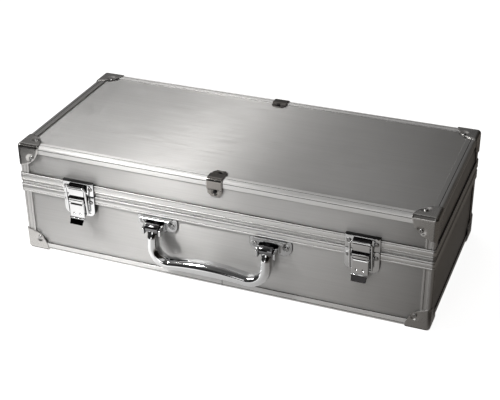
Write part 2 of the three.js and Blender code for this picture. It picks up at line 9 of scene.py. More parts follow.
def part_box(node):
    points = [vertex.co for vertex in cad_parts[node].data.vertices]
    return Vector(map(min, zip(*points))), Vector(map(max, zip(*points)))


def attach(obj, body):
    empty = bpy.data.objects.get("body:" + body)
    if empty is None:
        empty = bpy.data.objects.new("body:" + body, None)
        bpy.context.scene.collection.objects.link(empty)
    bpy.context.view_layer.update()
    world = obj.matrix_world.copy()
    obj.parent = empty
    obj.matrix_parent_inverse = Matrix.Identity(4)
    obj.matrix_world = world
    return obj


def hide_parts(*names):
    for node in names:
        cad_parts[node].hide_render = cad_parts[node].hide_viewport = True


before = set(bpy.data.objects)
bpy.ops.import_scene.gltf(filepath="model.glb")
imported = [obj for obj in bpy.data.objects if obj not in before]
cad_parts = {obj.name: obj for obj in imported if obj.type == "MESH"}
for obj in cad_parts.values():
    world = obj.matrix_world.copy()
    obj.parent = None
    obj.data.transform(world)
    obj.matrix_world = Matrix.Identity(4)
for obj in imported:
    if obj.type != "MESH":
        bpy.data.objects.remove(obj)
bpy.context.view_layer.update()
MM = 0.001

# ------------------------------------------------------------------ sizes, mm, case frame
W, D, H = 470.0, 211.0, 134.0
_lo, _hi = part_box("base_rim")
SHIFT = (_lo.y + _hi.y) / 2 / MM      # the case body is set back by this
HANDLE_X, HANDLE_HALF = -3.0, 65.0
PIVOT_OFF, PIVOT_Z, DROP, LEAN, BEND = 10.0, 66.5, 38.5, 3.0, 20.0
LATCH_X, LPIV_OFF, LPIV_Z = 161.0, 5.0, 80.5
BPIV_OFF, BPIV_Z, BTOP_OFF, BTOP_Z, BAIL_X = 5.0, 63.2, 8.5, 96.4, 11.6
HINGE_X, HINGE_OFF, HINGE_Z = 150.0, 3.4, 84.75
PAN_IN = 2.7
ZR0, ZR1, ZL0, ZLS, ZL1 = 75.0, 84.3, 84.9, 88.0, 98.0


def F(off):
    return -D / 2 - off


def B(off):
    return D / 2 + off


def V(x, y, z):
    return Vector((x * MM, (y + SHIFT) * MM, z * MM))


# light levels
KEY = 1.95
LIFT_R = 0.5
LIFT_L = 1.38
ROOM = 2.3
TABLE = 1.52
TABLE_R = 1.35
LIFT_F = 0.8

# ------------------------------------------------------------------ materials
def node_mat(name):
    m = bpy.data.materials.new(name)
    m.use_nodes = True
    nt = m.node_tree
    for n in list(nt.nodes):
        nt.nodes.remove(n)
    out = nt.nodes.new("ShaderNodeOutputMaterial")
    bs = nt.nodes.new("ShaderNodeBsdfPrincipled")
    nt.links.new(bs.outputs[0], out.inputs[0])
    return m, nt, bs


def link(nt, a, b):
    nt.links.new(a, b)


def ramp(nt, fac, stops):
    r = nt.nodes.new("ShaderNodeValToRGB")
    r.color_ramp.elements[0].position, r.color_ramp.elements[0].color = stops[0][0], (*stops[0][1], 1)
    r.color_ramp.elements[1].position, r.color_ramp.elements[1].color = stops[-1][0], (*stops[-1][1], 1)
    for p, c in stops[1:-1]:
        e = r.color_ramp.elements.new(p)
        e.color = (*c, 1)
    link(nt, fac, r.inputs[0])
    return r.outputs[0]


def noise(nt, vec, scale, detail=3.0, rough=0.5):
    n = nt.nodes.new("ShaderNodeTexNoise")
    n.inputs["Scale"].default_value = scale
    n.inputs["Detail"].default_value = detail
    n.inputs["Roughness"].default_value = rough
    link(nt, vec, n.inputs["Vector"])
    return n.outputs[0]


def mapping(nt, vec, scale):
    m = nt.nodes.new("ShaderNodeMapping")
    m.inputs["Scale"].default_value = scale
    link(nt, vec, m.inputs["Vector"])
    return m.outputs[0]


def maprange(nt, val, a, b, c, d):
    m = nt.nodes.new("ShaderNodeMapRange")
    for i, x in enumerate((a, b, c, d)):
        m.inputs[i + 1].default_value = x
    link(nt, val, m.inputs[0])
    return m.outputs[0]


def bump(nt, height, strength, distance, normal=None):
    b = nt.nodes.new("ShaderNodeBump")
    b.inputs["Strength"].default_value = strength
    b.inputs["Distance"].default_value = distance
    link(nt, height, b.inputs["Height"])
    if normal is not None:
        link(nt, normal, b.inputs["Normal"])
    return b.outputs[0]


def mixval(nt, a, b, fac=0.5, mode="MIX"):
    m = nt.nodes.new("ShaderNodeMix")
    m.data_type = "FLOAT"
    m.inputs[0].default_value = fac
    link(nt, a, m.inputs[2])
    link(nt, b, m.inputs[3])
    return m.outputs[0]


def brushed(name, along, base, rough, grain=1.0, aniso=0.0, dark=0.86, blotch=0.05, spread=0.07):
    """Brushed or drawn aluminium with its grain along one axis."""
    m, nt, bs = node_mat(name)
    tc = nt.nodes.new("ShaderNodeTexCoord")
    obj = tc.outputs["Object"]
    fine = [2400.0, 2400.0, 2400.0]
    mid = [520.0, 520.0, 520.0]
    i = "xyz".index(along)
    fine[i], mid[i] = 22.0, 7.0
    g1 = noise(nt, mapping(nt, obj, fine), 1.0, 2.0, 0.6)
    g2 = noise(nt, mapping(nt, obj, mid), 1.0, 3.0, 0.6)
    g = mixval(nt, g1, g2, 0.45)
    big = noise(nt, obj, 7.0, 2.0, 0.5)
    c = ramp(nt, g, [(0.25, tuple(x * dark for x in base)), (0.75, base)])
    cm = nt.nodes.new("ShaderNodeMix")
    cm.data_type, cm.blend_type = "RGBA", "MULTIPLY"
    cm.inputs[0].default_value = 1.0
    link(nt, c, cm.inputs[6])
    link(nt, ramp(nt, big, [(0.3, (1 - blotch,) * 3), (0.7, (1.0, 1.0, 1.0))]), cm.inputs[7])
    link(nt, cm.outputs[2], bs.inputs["Base Color"])
    bs.inputs["Metallic"].default_value = 1.0
    link(nt, maprange(nt, g1, 0.3, 0.7, rough - spread, rough + spread), bs.inputs["Roughness"])
    if aniso:
        bs.inputs["Anisotropic"].default_value = aniso
        tn = nt.nodes.new("ShaderNodeCombineXYZ")
        for k in range(3):
            tn.inputs[k].default_value = 0.0 if k == i else 0.7071
        link(nt, tn.outputs[0], bs.inputs["Tangent"])
    link(nt, bump(nt, g, 0.30 * grain, 0.00002), bs.inputs["Normal"])
    return m


def plated(name, base, rough, smudge=0.5, wear=0.0):
    """Polished plate over pressed or cast metal, with faint smudges and polishing marks."""
    m, nt, bs = node_mat(name)
    tc = nt.nodes.new("ShaderNodeTexCoord")
    obj = tc.outputs["Object"]
    n1 = noise(nt, obj, 60.0, 4.0, 0.6)
    n2 = noise(nt, mapping(nt, obj, (1.0, 1.0, 2.5)), 900.0, 2.0, 0.5)
    link(nt, ramp(nt, n1, [(0.3, tuple(x * 0.93 for x in base)), (0.7, base)]), bs.inputs["Base Color"])
    bs.inputs["Metallic"].default_value = 1.0
    link(nt, maprange(nt, n1, 0.35, 0.75, rough, rough + 0.09 * smudge), bs.inputs["Roughness"])
    link(nt, bump(nt, n2, 0.06, 0.00003, bump(nt, n1, 0.10, 0.0002)), bs.inputs["Normal"])
    return m


def flock(name, base, speck, scale=1400.0, sheen=0.5, strength=0.6):
    """Short-pile flocking or open foam skin."""
    m, nt, bs = node_mat(name)
    tc = nt.nodes.new("ShaderNodeTexCoord")
    obj = tc.outputs["Object"]
    n1 = noise(nt, obj, scale, 3.0, 0.7)
    n2 = noise(nt, obj, 35.0, 4.0, 0.55)
    v = nt.nodes.new("ShaderNodeTexVoronoi")
    v.inputs["Scale"].default_value = scale * 0.8
    link(nt, obj, v.inputs["Vector"])
    mixed = mixval(nt, n1, v.outputs["Distance"], 0.4)
    c1 = ramp(nt, mixed, [(0.25, base), (0.8, speck)])
    cm = nt.nodes.new("ShaderNodeMix")
    cm.data_type, cm.blend_type = "RGBA", "MULTIPLY"
    cm.inputs[0].default_value = 1.0
    link(nt, c1, cm.inputs[6])
    link(nt, ramp(nt, n2, [(0.3, (0.72, 0.72, 0.72)), (0.7, (1.0, 1.0, 1.0))]), cm.inputs[7])
    link(nt, cm.outputs[2], bs.inputs["Base Color"])
    bs.inputs["Metallic"].default_value = 0.0
    link(nt, maprange(nt, n1, 0.2, 0.8, 0.82, 1.0), bs.inputs["Roughness"])
    bs.inputs["Sheen Weight"].default_value = sheen
    bs.inputs["Sheen Roughness"].default_value = 0.4
    bs.inputs["Specular IOR Level"].default_value = 0.25
    link(nt, bump(nt, mixed, strength, 0.0004), bs.inputs["Normal"])
    return m


ALU = (0.80, 0.80, 0.795)
M_PANEL_X = brushed("panel_brushed_x", "x", (0.80, 0.797, 0.79), 0.54, 1.0, 0.88, spread=0.16)
M_PANEL_Y = brushed("panel_brushed_y", "y", (0.80, 0.797, 0.79), 0.54, 1.0, 0.88, spread=0.16)
M_EXT = {a: brushed(f"extrusion_{a}", a, base, rough, 0.4, aniso, 0.94, 0.02, spread=0.08)
         for a, base, rough, aniso in (("x", (0.95, 0.948, 0.943), 0.50, 0.86), ("y", (0.84, 0.838, 0.833), 0.46, 0.78), ("z", (0.80, 0.796, 0.79), 0.70, 0.40))}
# darker satin on the lower lid bead: a painted shadow band
M_BEAD = brushed("rim_bead_painted_shadow", "x", (0.54, 0.537, 0.53), 0.48, 0.3, 0.0, 0.94, 0.02, spread=0.03)
M_RIM = brushed("rim_satin", "x", (0.88, 0.878, 0.873), 0.46, 0.3, 0.0, 0.95, 0.02, spread=0.03)
# near-black plate for painted shade lines in grooves, gaps, ledges and slots
M_SHADE_LINE = plated("painted_shade_line", (0.10, 0.095, 0.09), 0.50, 0.6)
M_CORNER = plated("corner_nickel", (0.58, 0.572, 0.56), 0.25, 0.9)
# dark plate on the corner folds: painted dark reflection
M_FOLD_DARK_REFLECTION = plated("corner_fold_painted_dark_reflection", (0.16, 0.155, 0.15), 0.16, 0.9)
# nickel darkened for the dark reflection the clip shows: painted dark reflection
M_CLIP = plated("clip_nickel_painted_dark_reflection", (0.30, 0.285, 0.27), 0.13, 0.9)
M_CHROME = plated("hardware_chrome", (0.86, 0.87, 0.88), 0.05, 0.6)
M_BRACKET = plated("bracket_chrome", (0.60, 0.605, 0.61), 0.08, 0.8)
# mid-dark plate in the rim grooves: painted shade
M_GROOVE = plated("rim_groove_painted_shade", (0.42, 0.415, 0.41), 0.45, 0.5)
# near-black plate for recesses, plate edges, caps and pins: painted shade and painted dark reflection
M_SHADE_DARK = plated("hardware_painted_shade_dark", (0.030, 0.029, 0.030), 0.09, 0.8)
# darkened chrome for the handle's eyes: painted dark reflection
M_EYE = plated("handle_eye_chrome_painted_dark", (0.20, 0.20, 0.205), 0.05, 0.8)
M_RIVET = plated("rivet_nickel", (0.50, 0.50, 0.50), 0.12, 0.8)
M_LINE = flock("lining_cloth", (0.008, 0.008, 0.009), (0.03, 0.03, 0.032), 1600, 0.4)
M_TRAY = flock("tray_flock", (0.007, 0.007, 0.008), (0.035, 0.035, 0.038), 1300, 0.6)
M_FOAM = flock("pad_foam", (0.016, 0.016, 0.018), (0.06, 0.06, 0.065), 700, 0.5, 0.9)


# ------------------------------------------------------------------ mesh tools
def put(name, bm, mats, body, nodes=(), angle=32.0, doubles=True):
    if doubles:
        bmesh.ops.remove_doubles(bm, verts=bm.verts, dist=2e-6)
    bmesh.ops.recalc_face_normals(bm, faces=bm.faces)
    me = bpy.data.meshes.new(name)
    bm.to_mesh(me)
    bm.free()
    for m in mats if isinstance(mats, (list, tuple)) else [mats]:
        me.materials.append(m)
    me.shade_smooth()
    me.set_sharp_from_angle(angle=math.radians(angle))
    o = bpy.data.objects.new(name, me)
    bpy.context.scene.collection.objects.link(o)
    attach(o, body)
    if nodes:
        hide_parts(*nodes)
    return o


def absorb(bm, other, mat=0):
    """Adds a finished bmesh to another one, as its own shell."""
    if mat is not None:
        for f in other.faces:
            f.material_index = mat
    bmesh.ops.recalc_face_normals(other, faces=other.faces)
    tmp = bpy.data.meshes.new("tmp")
    other.to_mesh(tmp)
    other.free()
    bm.from_mesh(tmp)
    bpy.data.meshes.remove(tmp)


def bevelled(bm, width, seg=2, limit=28.0):
    if width > 0:
        edges = [e for e in bm.edges if len(e.link_faces) == 2 and e.calc_face_angle(0) > math.radians(limit)]
        bmesh.ops.bevel(bm, geom=edges, offset=width * MM, offset_type="OFFSET", segments=seg, profile=0.5,
                        affect="EDGES", clamp_overlap=True)
    return bm


def prism(points, axis, a0, a1, bev=0.25, seg=2, end0=None, end1=None, slices=1, dark=(), tint=1):
    """Outline pushed along an axis. x takes (y, z) points, y takes (x, z), z takes (x, y)."""
    bm = bmesh.new()
    rings = []
    for k in range(slices + 1):
        t = k / slices
        ring = []
        for u, v in points:
            lo = end0(u, v) if end0 else a0
            hi = end1(u, v) if end1 else a1
            a = lo + (hi - lo) * t
            p = (a, u, v) if axis == "x" else (u, a, v) if axis == "y" else (u, v, a)
            ring.append(bm.verts.new(V(*p)))
        rings.append(ring)
    n = len(points)
    for k in range(slices):
        for i in range(n):
            j = (i + 1) % n
            f = bm.faces.new((rings[k][i], rings[k][j], rings[k + 1][j], rings[k + 1][i]))
            f.material_index = tint if i in dark else 0
    bm.faces.new(list(reversed(rings[0])))
    bm.faces.new(rings[-1])
    bmesh.ops.recalc_face_normals(bm, faces=bm.faces)
    return bevelled(bm, bev, seg)


def sheet(points, axis, a0, a1, bev=0.25, seg=2):
    """A plate whose sides are given a darker material: painted contact shadow and dark reflection for the dark outline
    seen around it.
    """
    bm = prism(points, axis, a0, a1, bev, seg, dark=range(len(points)), tint=2)
    k = "xyz".index(axis)
    for f in bm.faces:
        f.normal_update()
        if abs(f.normal[k]) < 0.93:
            f.material_index = 2
    return bm


def shade(bm, test, index=2):
    """Gives the faces whose centre passes the test another material; here that is painted shade and painted dark
    reflection.
    """
    for f in bm.faces:
        c = f.calc_center_median() / MM
        if test(Vector((c.x, c.y - SHIFT, c.z)), f.normal):
            f.material_index = index
    return bm


def block(x0, x1, y0, y1, z0, z1, bev=0.25, seg=2):
    return prism([(x0, y0), (x1, y0), (x1, y1), (x0, y1)], "z", z0, z1, bev, seg)


def rounded(u0, u1, v0, v1, r, n=6):
    """Rounded rectangle; r is one radius or four (u0v0, u1v0, u1v1, u0v1)."""
    rs = [r] * 4 if not isinstance(r, (list, tuple)) else r
    pts = []
    for (cu, cv, su, sv, a0), rr in zip(((u0, v0, 1, 1, 180), (u1, v0, -1, 1, 270), (u1, v1, -1, -1, 0), (u0, v1, 1, -1, 90)), rs):
        if rr <= 0.001:
            pts.append((cu, cv))
            continue
        for i in range(n + 1):
            a = math.radians(a0 + 90 * i / n)
            pts.append((cu + su * rr + rr * math.cos(a), cv + sv * rr + rr * math.sin(a)))
    return pts


def lathe(profile, centre, axis, sides=28):
    """Closed turned shape: profile is (radius, distance along the axis), starting and ending on the axis."""
    bm = bmesh.new()
    ax = Vector(axis).normalized()
    e1 = ax.orthogonal().normalized()
    e2 = ax.cross(e1)
    c = V(*centre)
    rings = []
    for r, h in profile:
        if r < 1e-6:
            rings.append([bm.verts.new(c + ax * h * MM)])
        else:
            rings.append([bm.verts.new(c + (ax * h + (e1 * math.cos(a) + e2 * math.sin(a)) * r) * MM)
                          for a in (2 * math.pi * i / sides for i in range(sides))])
    for a, b in zip(rings, rings[1:]):
        for i in range(sides):
            j = (i + 1) % sides
            if len(a) == 1:
                bm.faces.new((a[0], b[i], b[j]))
            elif len(b) == 1:
                bm.faces.new((a[i], a[j], b[0]))
            else:
                bm.faces.new((a[i], a[j], b[j], b[i]))
    return bm


def rod(axis, c, r, a0, a1, sides=28, bev=0.3):
    """Round bar with eased ends; axis 'x', 'y' or 'z'; c is the centre in the other two axes."""
    d = {"x": (1, 0, 0), "y": (0, 1, 0), "z": (0, 0, 1)}[axis]
    o = (0, c[0], c[1]) if axis == "x" else (c[0], 0, c[1]) if axis == "y" else (c[0], c[1], 0)
    b = min(bev, r * 0.4)
    return lathe([(0, a0), (r - b, a0), (r - b * 0.3, a0 + b * 0.3), (r, a0 + b), (r, a1 - b), (r - b * 0.3, a1 - b * 0.3), (r - b, a1), (0, a1)], o, d, sides)


def rivet(centre, axis, r=2.6, h=1.1):
    """Domed tubular rivet head with a shallow set mark in the middle."""
    return lathe([(0, -0.3), (r, -0.3), (r, 0.12 * h), (r * 0.93, 0.55 * h), (r * 0.74, 0.9 * h), (r * 0.52, h), (r * 0.40, 0.93 * h), (r * 0.30, 0.55 * h), (r * 0.15, 0.48 * h), (0, 0.46 * h)], centre, axis, 26)


def tube(points, radii, side, sides=20, caps=True):
    """Sweep of an ellipse; radii are (along side, across side) per station; side is the reference vector."""
    bm = bmesh.new()
    rings = []
    n = len(points)
    for i in range(n):
        a, b = points[max(i - 1, 0)], points[min(i + 1, n - 1)]
        t = (b - a).normalized()
        s = (side - t * side.dot(t)).normalized()
        u = t.cross(s)
        rings.append([bm.verts.new(points[i] + (s * math.cos(g) * radii[i][0] + u * math.sin(g) * radii[i][1]) * MM)
                      for g in (2 * math.pi * k / sides for k in range(sides))])
    for a, b in zip(rings, rings[1:]):
        for k in range(sides):
            l = (k + 1) % sides
            bm.faces.new((a[k], a[l], b[l], b[k]))
    if caps:
        bm.faces.new(list(reversed(rings[0])))
        bm.faces.new(rings[-1])
    return bm


def slab(fn, nu, nv, thick, mirror=False):
    """Closed sheet: fn(u, v) in 0..1 gives (point, inward normal) of the outer skin; thick is the sheet in mm."""
    bm = bmesh.new()
    outer, inner = [], []
    for i in range(nu + 1):
        ro, ri = [], []
        for j in range(nv + 1):
            p, n = fn(i / nu, j / nv)
            ro.append(bm.verts.new(V(*p)))
            ri.append(bm.verts.new(V(p[0] + n[0] * thick, p[1] + n[1] * thick, p[2] + n[2] * thick)))
        outer.append(ro)
        inner.append(ri)
    for i in range(nu):
        for j in range(nv):
            bm.faces.new((outer[i][j], outer[i + 1][j], outer[i + 1][j + 1], outer[i][j + 1]))
            bm.faces.new((inner[i][j], inner[i][j + 1], inner[i + 1][j + 1], inner[i + 1][j]))
    for i in range(nu):
        bm.faces.new((outer[i][0], inner[i][0], inner[i + 1][0], outer[i + 1][0]))
        bm.faces.new((outer[i][nv], outer[i + 1][nv], inner[i + 1][nv], inner[i][nv]))
    for j in range(nv):
        bm.faces.new((outer[0][j], outer[0][j + 1], inner[0][j + 1], inner[0][j]))
        bm.faces.new((outer[nu][j], inner[nu][j], inner[nu][j + 1], outer[nu][j + 1]))
    return bm


def smooth01(x):
    x = min(1.0, max(0.0, x))
    return x * x * (3 - 2 * x)


# ------------------------------------------------------------------ board panels
for side in ("front", "back", "left", "right"):
    for half in ("base", "lid"):
        node = f"{half}_{side}_panel"
        lo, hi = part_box(node)
        bm = block(lo.x / MM, hi.x / MM, lo.y / MM - SHIFT, hi.y / MM - SHIFT, lo.z / MM, hi.z / MM, 0.35, 3)
        put(f"{node}_skin", bm, M_PANEL_X if side in ("front", "back") else M_PANEL_Y, half, [node])
for node, body in (("base_bottom_panel", "base"), ("lid_top_panel", "lid")):
    lo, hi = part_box(node)
    bm = block(lo.x / MM, hi.x / MM, lo.y / MM - SHIFT, hi.y / MM - SHIFT, lo.z / MM, hi.z / MM, 0.35, 3)
    put(f"{node}_skin", bm, M_PANEL_X, body, [node])

# ------------------------------------------------------------------ edge extrusions and posts
EXT_IN, EXT_T, EXT_R = 1.2, 1.2, 3.0


def ribbed(length):
    """Outer skin of a post flange: a shallow band between two ribs, as (distance, inset, dark after); dark marks a
    painted shade line.
    """
    f0 = length - 2.3
    return [(3.15, 0.02, 0), (3.45, 0.10, 1), (3.75, 0.35, 0), (f0 - 0.25, 0.35, 1), (f0 + 0.1, 0.14, 0), (f0 + 0.5, 0.0, 0),
            (length - 0.5, 0.0, 0), (length - 0.2, 0.08, 0), (length - 0.06, 0.25, 0), (length, 0.55, 0)]


def grooved(length, at):
    """Outer skin of an edge flange: flat, with one fine groove; the third value marks a painted shade line."""
    return [(3.02, 0.0, 0), (at - 0.32, 0.0, 1), (at - 0.16, 0.45, 1), (at + 0.16, 0.45, 1), (at + 0.32, 0.0, 0), (at + 0.8, 0.0, 0),
            (length - 0.6, 0.0, 0), (length - 0.3, 0.08, 0), (length - 0.08, 0.3, 1), (length, 0.65, 0)]


def angle_outline(fa, fb, a, b):
    """Section of an angle extrusion in (u, v), with its dark segments, the painted shade lines: flange a along u,
    flange b along v.
    """
    pts, dark = [], set()
    rev = list(reversed(fb))
    for i, (s, d, k) in enumerate(rev):
        if i + 1 < len(rev) and rev[i + 1][2]:
            dark.add(len(pts))
        pts.append((d, s))
    for i in range(9):
        g = math.pi + math.pi / 2 * i / 8
        pts.append((EXT_R + EXT_R * math.cos(g), EXT_R + EXT_R * math.sin(g)))
    for s, d, k in fa:
        if k:
            dark.add(len(pts))
        pts.append((s, d))
    pts += [(a, EXT_T), (EXT_T + 0.5, EXT_T), (EXT_T + 0.15, EXT_T + 0.15), (EXT_T, EXT_T + 0.5), (EXT_T, b)]
    dark.add(len(pts) - 1)
    return pts, dark


# the dark segments take the painted shade line material
WIDE, WIDE_DARK = angle_outline(grooved(10.5, 5.3), grooved(9.0, 3.45), 10.5, 9.0)
POST, POST_DARK = angle_outline(ribbed(10.3), ribbed(10.3), 10.3, 10.3)


def edge_x(name, sy, top, x0, x1, body):
    pts, inset = [], []
    for u, v in WIDE:
        pts.append((sy * (D / 2 - EXT_IN - u), H - EXT_IN - v if top else EXT_IN + v))

    def end(sign, x):
        def f(y, z):
            if abs(x) < 100:
                return x
            iy = D / 2 - abs(y)
            iz = H - z if top else z
            return sign * (W / 2 - max(iy, iz, 4.7))
        return f
    bm = prism(pts, "x", x0, x1, 0, 1, end(-1, x0), end(1, x1), dark=WIDE_DARK)
    # ends at a butt splice are painted dark: painted shade in the joint
    for f in bm.faces:
        x = f.calc_center_median().x / MM
        if abs(x) < 100 and min(abs(x - x0), abs(x - x1)) < 0.01:
            f.material_index = 1
    put(f"{name}_bar", bm, [M_EXT["x"], M_SHADE_LINE], body, [name], 40)


def edge_y(name, sx, top, body):
    pts = [(sx * (W / 2 - EXT_IN - u), H - EXT_IN - v if top else EXT_IN + v) for u, v in WIDE]

    def end(sign):
        def f(x, z):
            ix = W / 2 - abs(x)
            iz = H - z if top else z
            return sign * (D / 2 - max(ix, iz, 4.7) - 0.25)
        return f
    bm = prism(pts, "y", 0, 0, 0, 1, end(-1), end(1), dark=WIDE_DARK)
    put(f"{name}_bar", bm, [M_EXT["y"], M_SHADE_LINE], body, [name], 40)


edge_x("base_edge_front_left", -1, False, -230, 5.62, "base")
edge_x("base_edge_front_right", -1, False, 6.38, 230, "base")
edge_x("base_edge_back", 1, False, -230, 230, "base")
edge_y("base_edge_left", -1, False, "base")
edge_y("base_edge_right", 1, False, "base")
edge_x("lid_edge_front_left", -1, True, -230, -0.1, "lid")
edge_x("lid_edge_front_right", -1, True, 0.1, 230, "lid")
edge_x("lid_edge_back_left", 1, True, -230, -0.1, "lid")
edge_x("lid_edge_back_right", 1, True, 0.1, 230, "lid")
edge_y("lid_edge_left", -1, True, "lid")
edge_y("lid_edge_right", 1, True, "lid")
CORNERS = (("fl", -1, -1), ("fr", 1, -1), ("bl", -1, 1), ("br", 1, 1))
for tag, sx, sy in CORNERS:
    pts = [(sx * (W / 2 - EXT_IN - u), sy * (D / 2 - EXT_IN - v)) for u, v in POST]
    put(f"base_post_{tag}_bar", prism(pts, "z", 10.5, 74.7, 0, dark=POST_DARK), [M_EXT["z"], M_SHADE_LINE], "base", [f"base_post_{tag}"], 40)
    put(f"lid_post_{tag}_bar", prism(pts, "z", 98.3, 123.5, 0, dark=POST_DARK), [M_EXT["z"], M_SHADE_LINE], "lid", [f"lid_post_{tag}"], 40)


# ------------------------------------------------------------------ rims of the mouth
def frame_loop(profile, n=10, radius=3.4):
    bm = bmesh.new()
    rings = []
    for t, z in profile:
        r = max(radius - t, 0.3)
        pts = rounded(-W / 2 + t, W / 2 - t, -D / 2 + t, D / 2 - t, r, n)
        rings.append([bm.verts.new(V(x, y, z)) for x, y in pts])
    m, k = len(rings[0]), len(rings)
    for i in range(k):
        for j in range(m):
            a, b = rings[i], rings[(i + 1) % k]
            f = bm.faces.new((a[j], a[(j + 1) % m], b[(j + 1) % m], b[j]))
            ends = (profile[i], profile[(i + 1) % k])
            # the top ledge gets the painted shade line, the grooves painted shade, the lower lid bead a painted shadow
            # band
            f.material_index = 1 if all(z > 97.95 for t, z in ends) else 2 if all(0.45 < t < 1.45 for t, z in ends) else 3 if all(88.0 < z < 90.2 for t, z in ends) else 0
    return bm


BASE_RIM = [(0.55, ZR0), (RIM := 2.3, ZR0), (2.3, 81.5), (6.2, 81.5), (6.2, 77.0), (8.0, 77.0), (8.0, 83.9), (7.6, 84.3),
            (5.6, 84.3), (5.6, 86.5), (5.25, 86.9), (4.55, 86.9), (4.2, 86.5), (4.2, 84.3), (0.95, 84.3), (0.55, 84.22), (0.2, 83.95),
            (0.04, 83.5), (0.04, 82.9), (0.25, 82.5), (0.6, 82.2), (0.66, 81.9), (0.62, 81.5), (0.35, 81.1), (0.2, 80.6), (0.1, 79.8),
            (0.08, 79.0), (0.12, 78.3), (0.25, 77.7), (0.55, 77.35), (0.62, 77.1), (0.55, 76.85), (0.2, 76.6), (0.02, 76.2),
            (0.0, 75.8), (0.08, 75.3), (0.25, 75.08)]
LID_RIM = [(1.9, ZL0), (3.6, ZL0), (3.6, 87.5), (6.2, 87.5), (6.2, ZL0), (7.6, ZL0), (8.0, 85.3), (8.0, 94.6), (6.2, 94.6), (6.2, 90.5),
           (2.3, 90.5), (2.3, 98.0), (0.75, 98.0), (0.35, 97.9), (0.08, 97.6), (0.0, 97.2), (0.05, 96.8), (0.3, 96.5), (0.6, 96.3),
           (0.68, 96.05), (0.6, 95.8), (0.3, 95.5), (0.14, 95.1), (0.06, 94.4), (0.04, 93.0), (0.08, 91.8), (0.16, 91.2), (0.4, 90.8),
           (0.62, 90.6), (0.62, 90.35), (0.35, 90.1), (0.1, 89.8), (0.0, 89.3), (0.02, 88.7), (0.2, 88.25), (0.5, 88.05), (1.3, 88.0),
           (1.55, 87.8), (1.6, 87.0), (1.45, 86.7), (1.15, 86.55), (0.95, 86.25), (1.05, 85.9), (1.4, 85.7), (1.6, 85.45), (1.62, 85.05)]
put("base_rim_channel", frame_loop(BASE_RIM), [M_RIM, M_SHADE_LINE, M_GROOVE, M_BEAD], "base", ["base_rim"], 40)
put("lid_rim_channel", frame_loop(LID_RIM), [M_RIM, M_SHADE_LINE, M_GROOVE, M_BEAD], "lid", ["lid_rim"], 40)

# ------------------------------------------------------------------ ball corners
BALL = 4.2
LEG = 26.7
RIV = 16.6       # rivet distance from both edges on each face
DIM_R, DIM_D = 5.3, 1.15


def corner_point(face, rho, phi):
    """Outer skin of a ball corner near its point, local axes pointing into the case."""
    a, b = rho * math.cos(phi), rho * math.sin(phi)
    sharp = {0: (a, b, 0.0), 1: (b, 0.0, a), 2: (0.0, a, b)}[face]
    c = [max(s, BALL) for s in sharp]
    c[{0: 2, 1: 1, 2: 0}[face]] = BALL
    d = [s - q for s, q in zip(sharp, c)]
    l = math.sqrt(sum(x * x for x in d))
    n = [x / l for x in d]
    p = [q + BALL * x for q, x in zip(c, n)]
    # pressed dimple round the rivet
    ra = math.hypot(a - RIV, b - RIV)
    k = DIM_D * (1 - smooth01((ra - 2.9) / (DIM_R - 2.4)))
    # the free edge is turned in a little
    k += 0.35 * smooth01((rho - (LEG - 1.0)) / 1.0)
    p = [q - x * k for q, x in zip(p, n)]
    return p, [-x for x in n]


def ball_corner(name, sx, sy, top, body, nodes):
    bm = bmesh.new()
    zdir = -1 if top else 1

    def place(p):
        return (sx * (W / 2 - p[0]), sy * (D / 2 - p[1]), H - p[2] if top else p[2])

    def direct(n):
        return (-sx * n[0], -sy * n[1], zdir * n[2])
    for face in range(3):
        def fn(u, v, face=face):
            # rings evenly spaced out to the free edge, where the dimple is
            rho = LEG * (0.02 + 0.98 * u)
            p, n = corner_point(face, rho if u > 0 else 0.0001, v * math.pi / 2)
            return place(p), direct(n)
        grid_o, grid_i = [], []
        nu, nv = 34, 36
        for i in range(nu + 1):
            ro, ri = [], []
            for j in range(nv + 1):
                p, n = fn(i / nu, j / nv)
                ro.append(bm.verts.new(V(*p)))
                ri.append(bm.verts.new(V(p[0] + n[0] * 0.85, p[1] + n[1] * 0.85, p[2] + n[2] * 0.85)))
            grid_o.append(ro)
            grid_i.append(ri)
        for i in range(nu):
            for j in range(nv):
                for g, flip in ((grid_o, False), (grid_i, True)):
                    q = [g[i][j], g[i + 1][j], g[i + 1][j + 1], g[i][j + 1]]
                    if len({tuple(round(c, 8) for c in w.co) for w in q}) == 4:
                        bm.faces.new(q[::-1] if flip else q)
                    else:
                        uq = []
                        for w in q:
                            if all((w.co - x.co).length > 1e-8 for x in uq):
                                uq.append(w)
                        if len(uq) == 3:
                            bm.faces.new(uq)
        for j in range(nv):
            bm.faces.new((grid_o[nu][j], grid_i[nu][j], grid_i[nu][j + 1], grid_o[nu][j + 1]))
    bmesh.ops.remove_doubles(bm, verts=bm.verts, dist=8e-6)
    for f in bm.faces:
        f.material_index = 0
    bmesh.ops.recalc_face_normals(bm, faces=bm.faces)
    # faces on the rounded folds between two faces get the painted dark reflection
    for f in bm.faces:
        if sum(abs(q) > 0.30 for q in f.normal) >= 2 and abs(f.normal.z) > 0.30 and f.calc_center_median().length > 0:
            c = f.calc_center_median() / MM
            if D / 2 - abs(c.y - SHIFT) < BALL + 0.2 and (H - c.z if top else c.z) < BALL + 0.2 and W / 2 - abs(c.x) > BALL:
                f.material_index = 2
    for face in range(3):
        a = b = RIV
        loc = {0: (a, b, 0.0), 1: (b, 0.0, a), 2: (0.0, a, b)}[face]
        nrm = {0: (0, 0, -1), 1: (0, -1, 0), 2: (-1, 0, 0)}[face]
        base = [q - x * (DIM_D - 0.07) for q, x in zip(loc, nrm)]
        c = place(base)
        ax = direct(nrm)
        absorb(bm, rivet(c, ax, 2.4, 0.95), 1)
    put(name, bm, [M_CORNER, M_RIVET, M_FOLD_DARK_REFLECTION], body, nodes, 50, doubles=False)


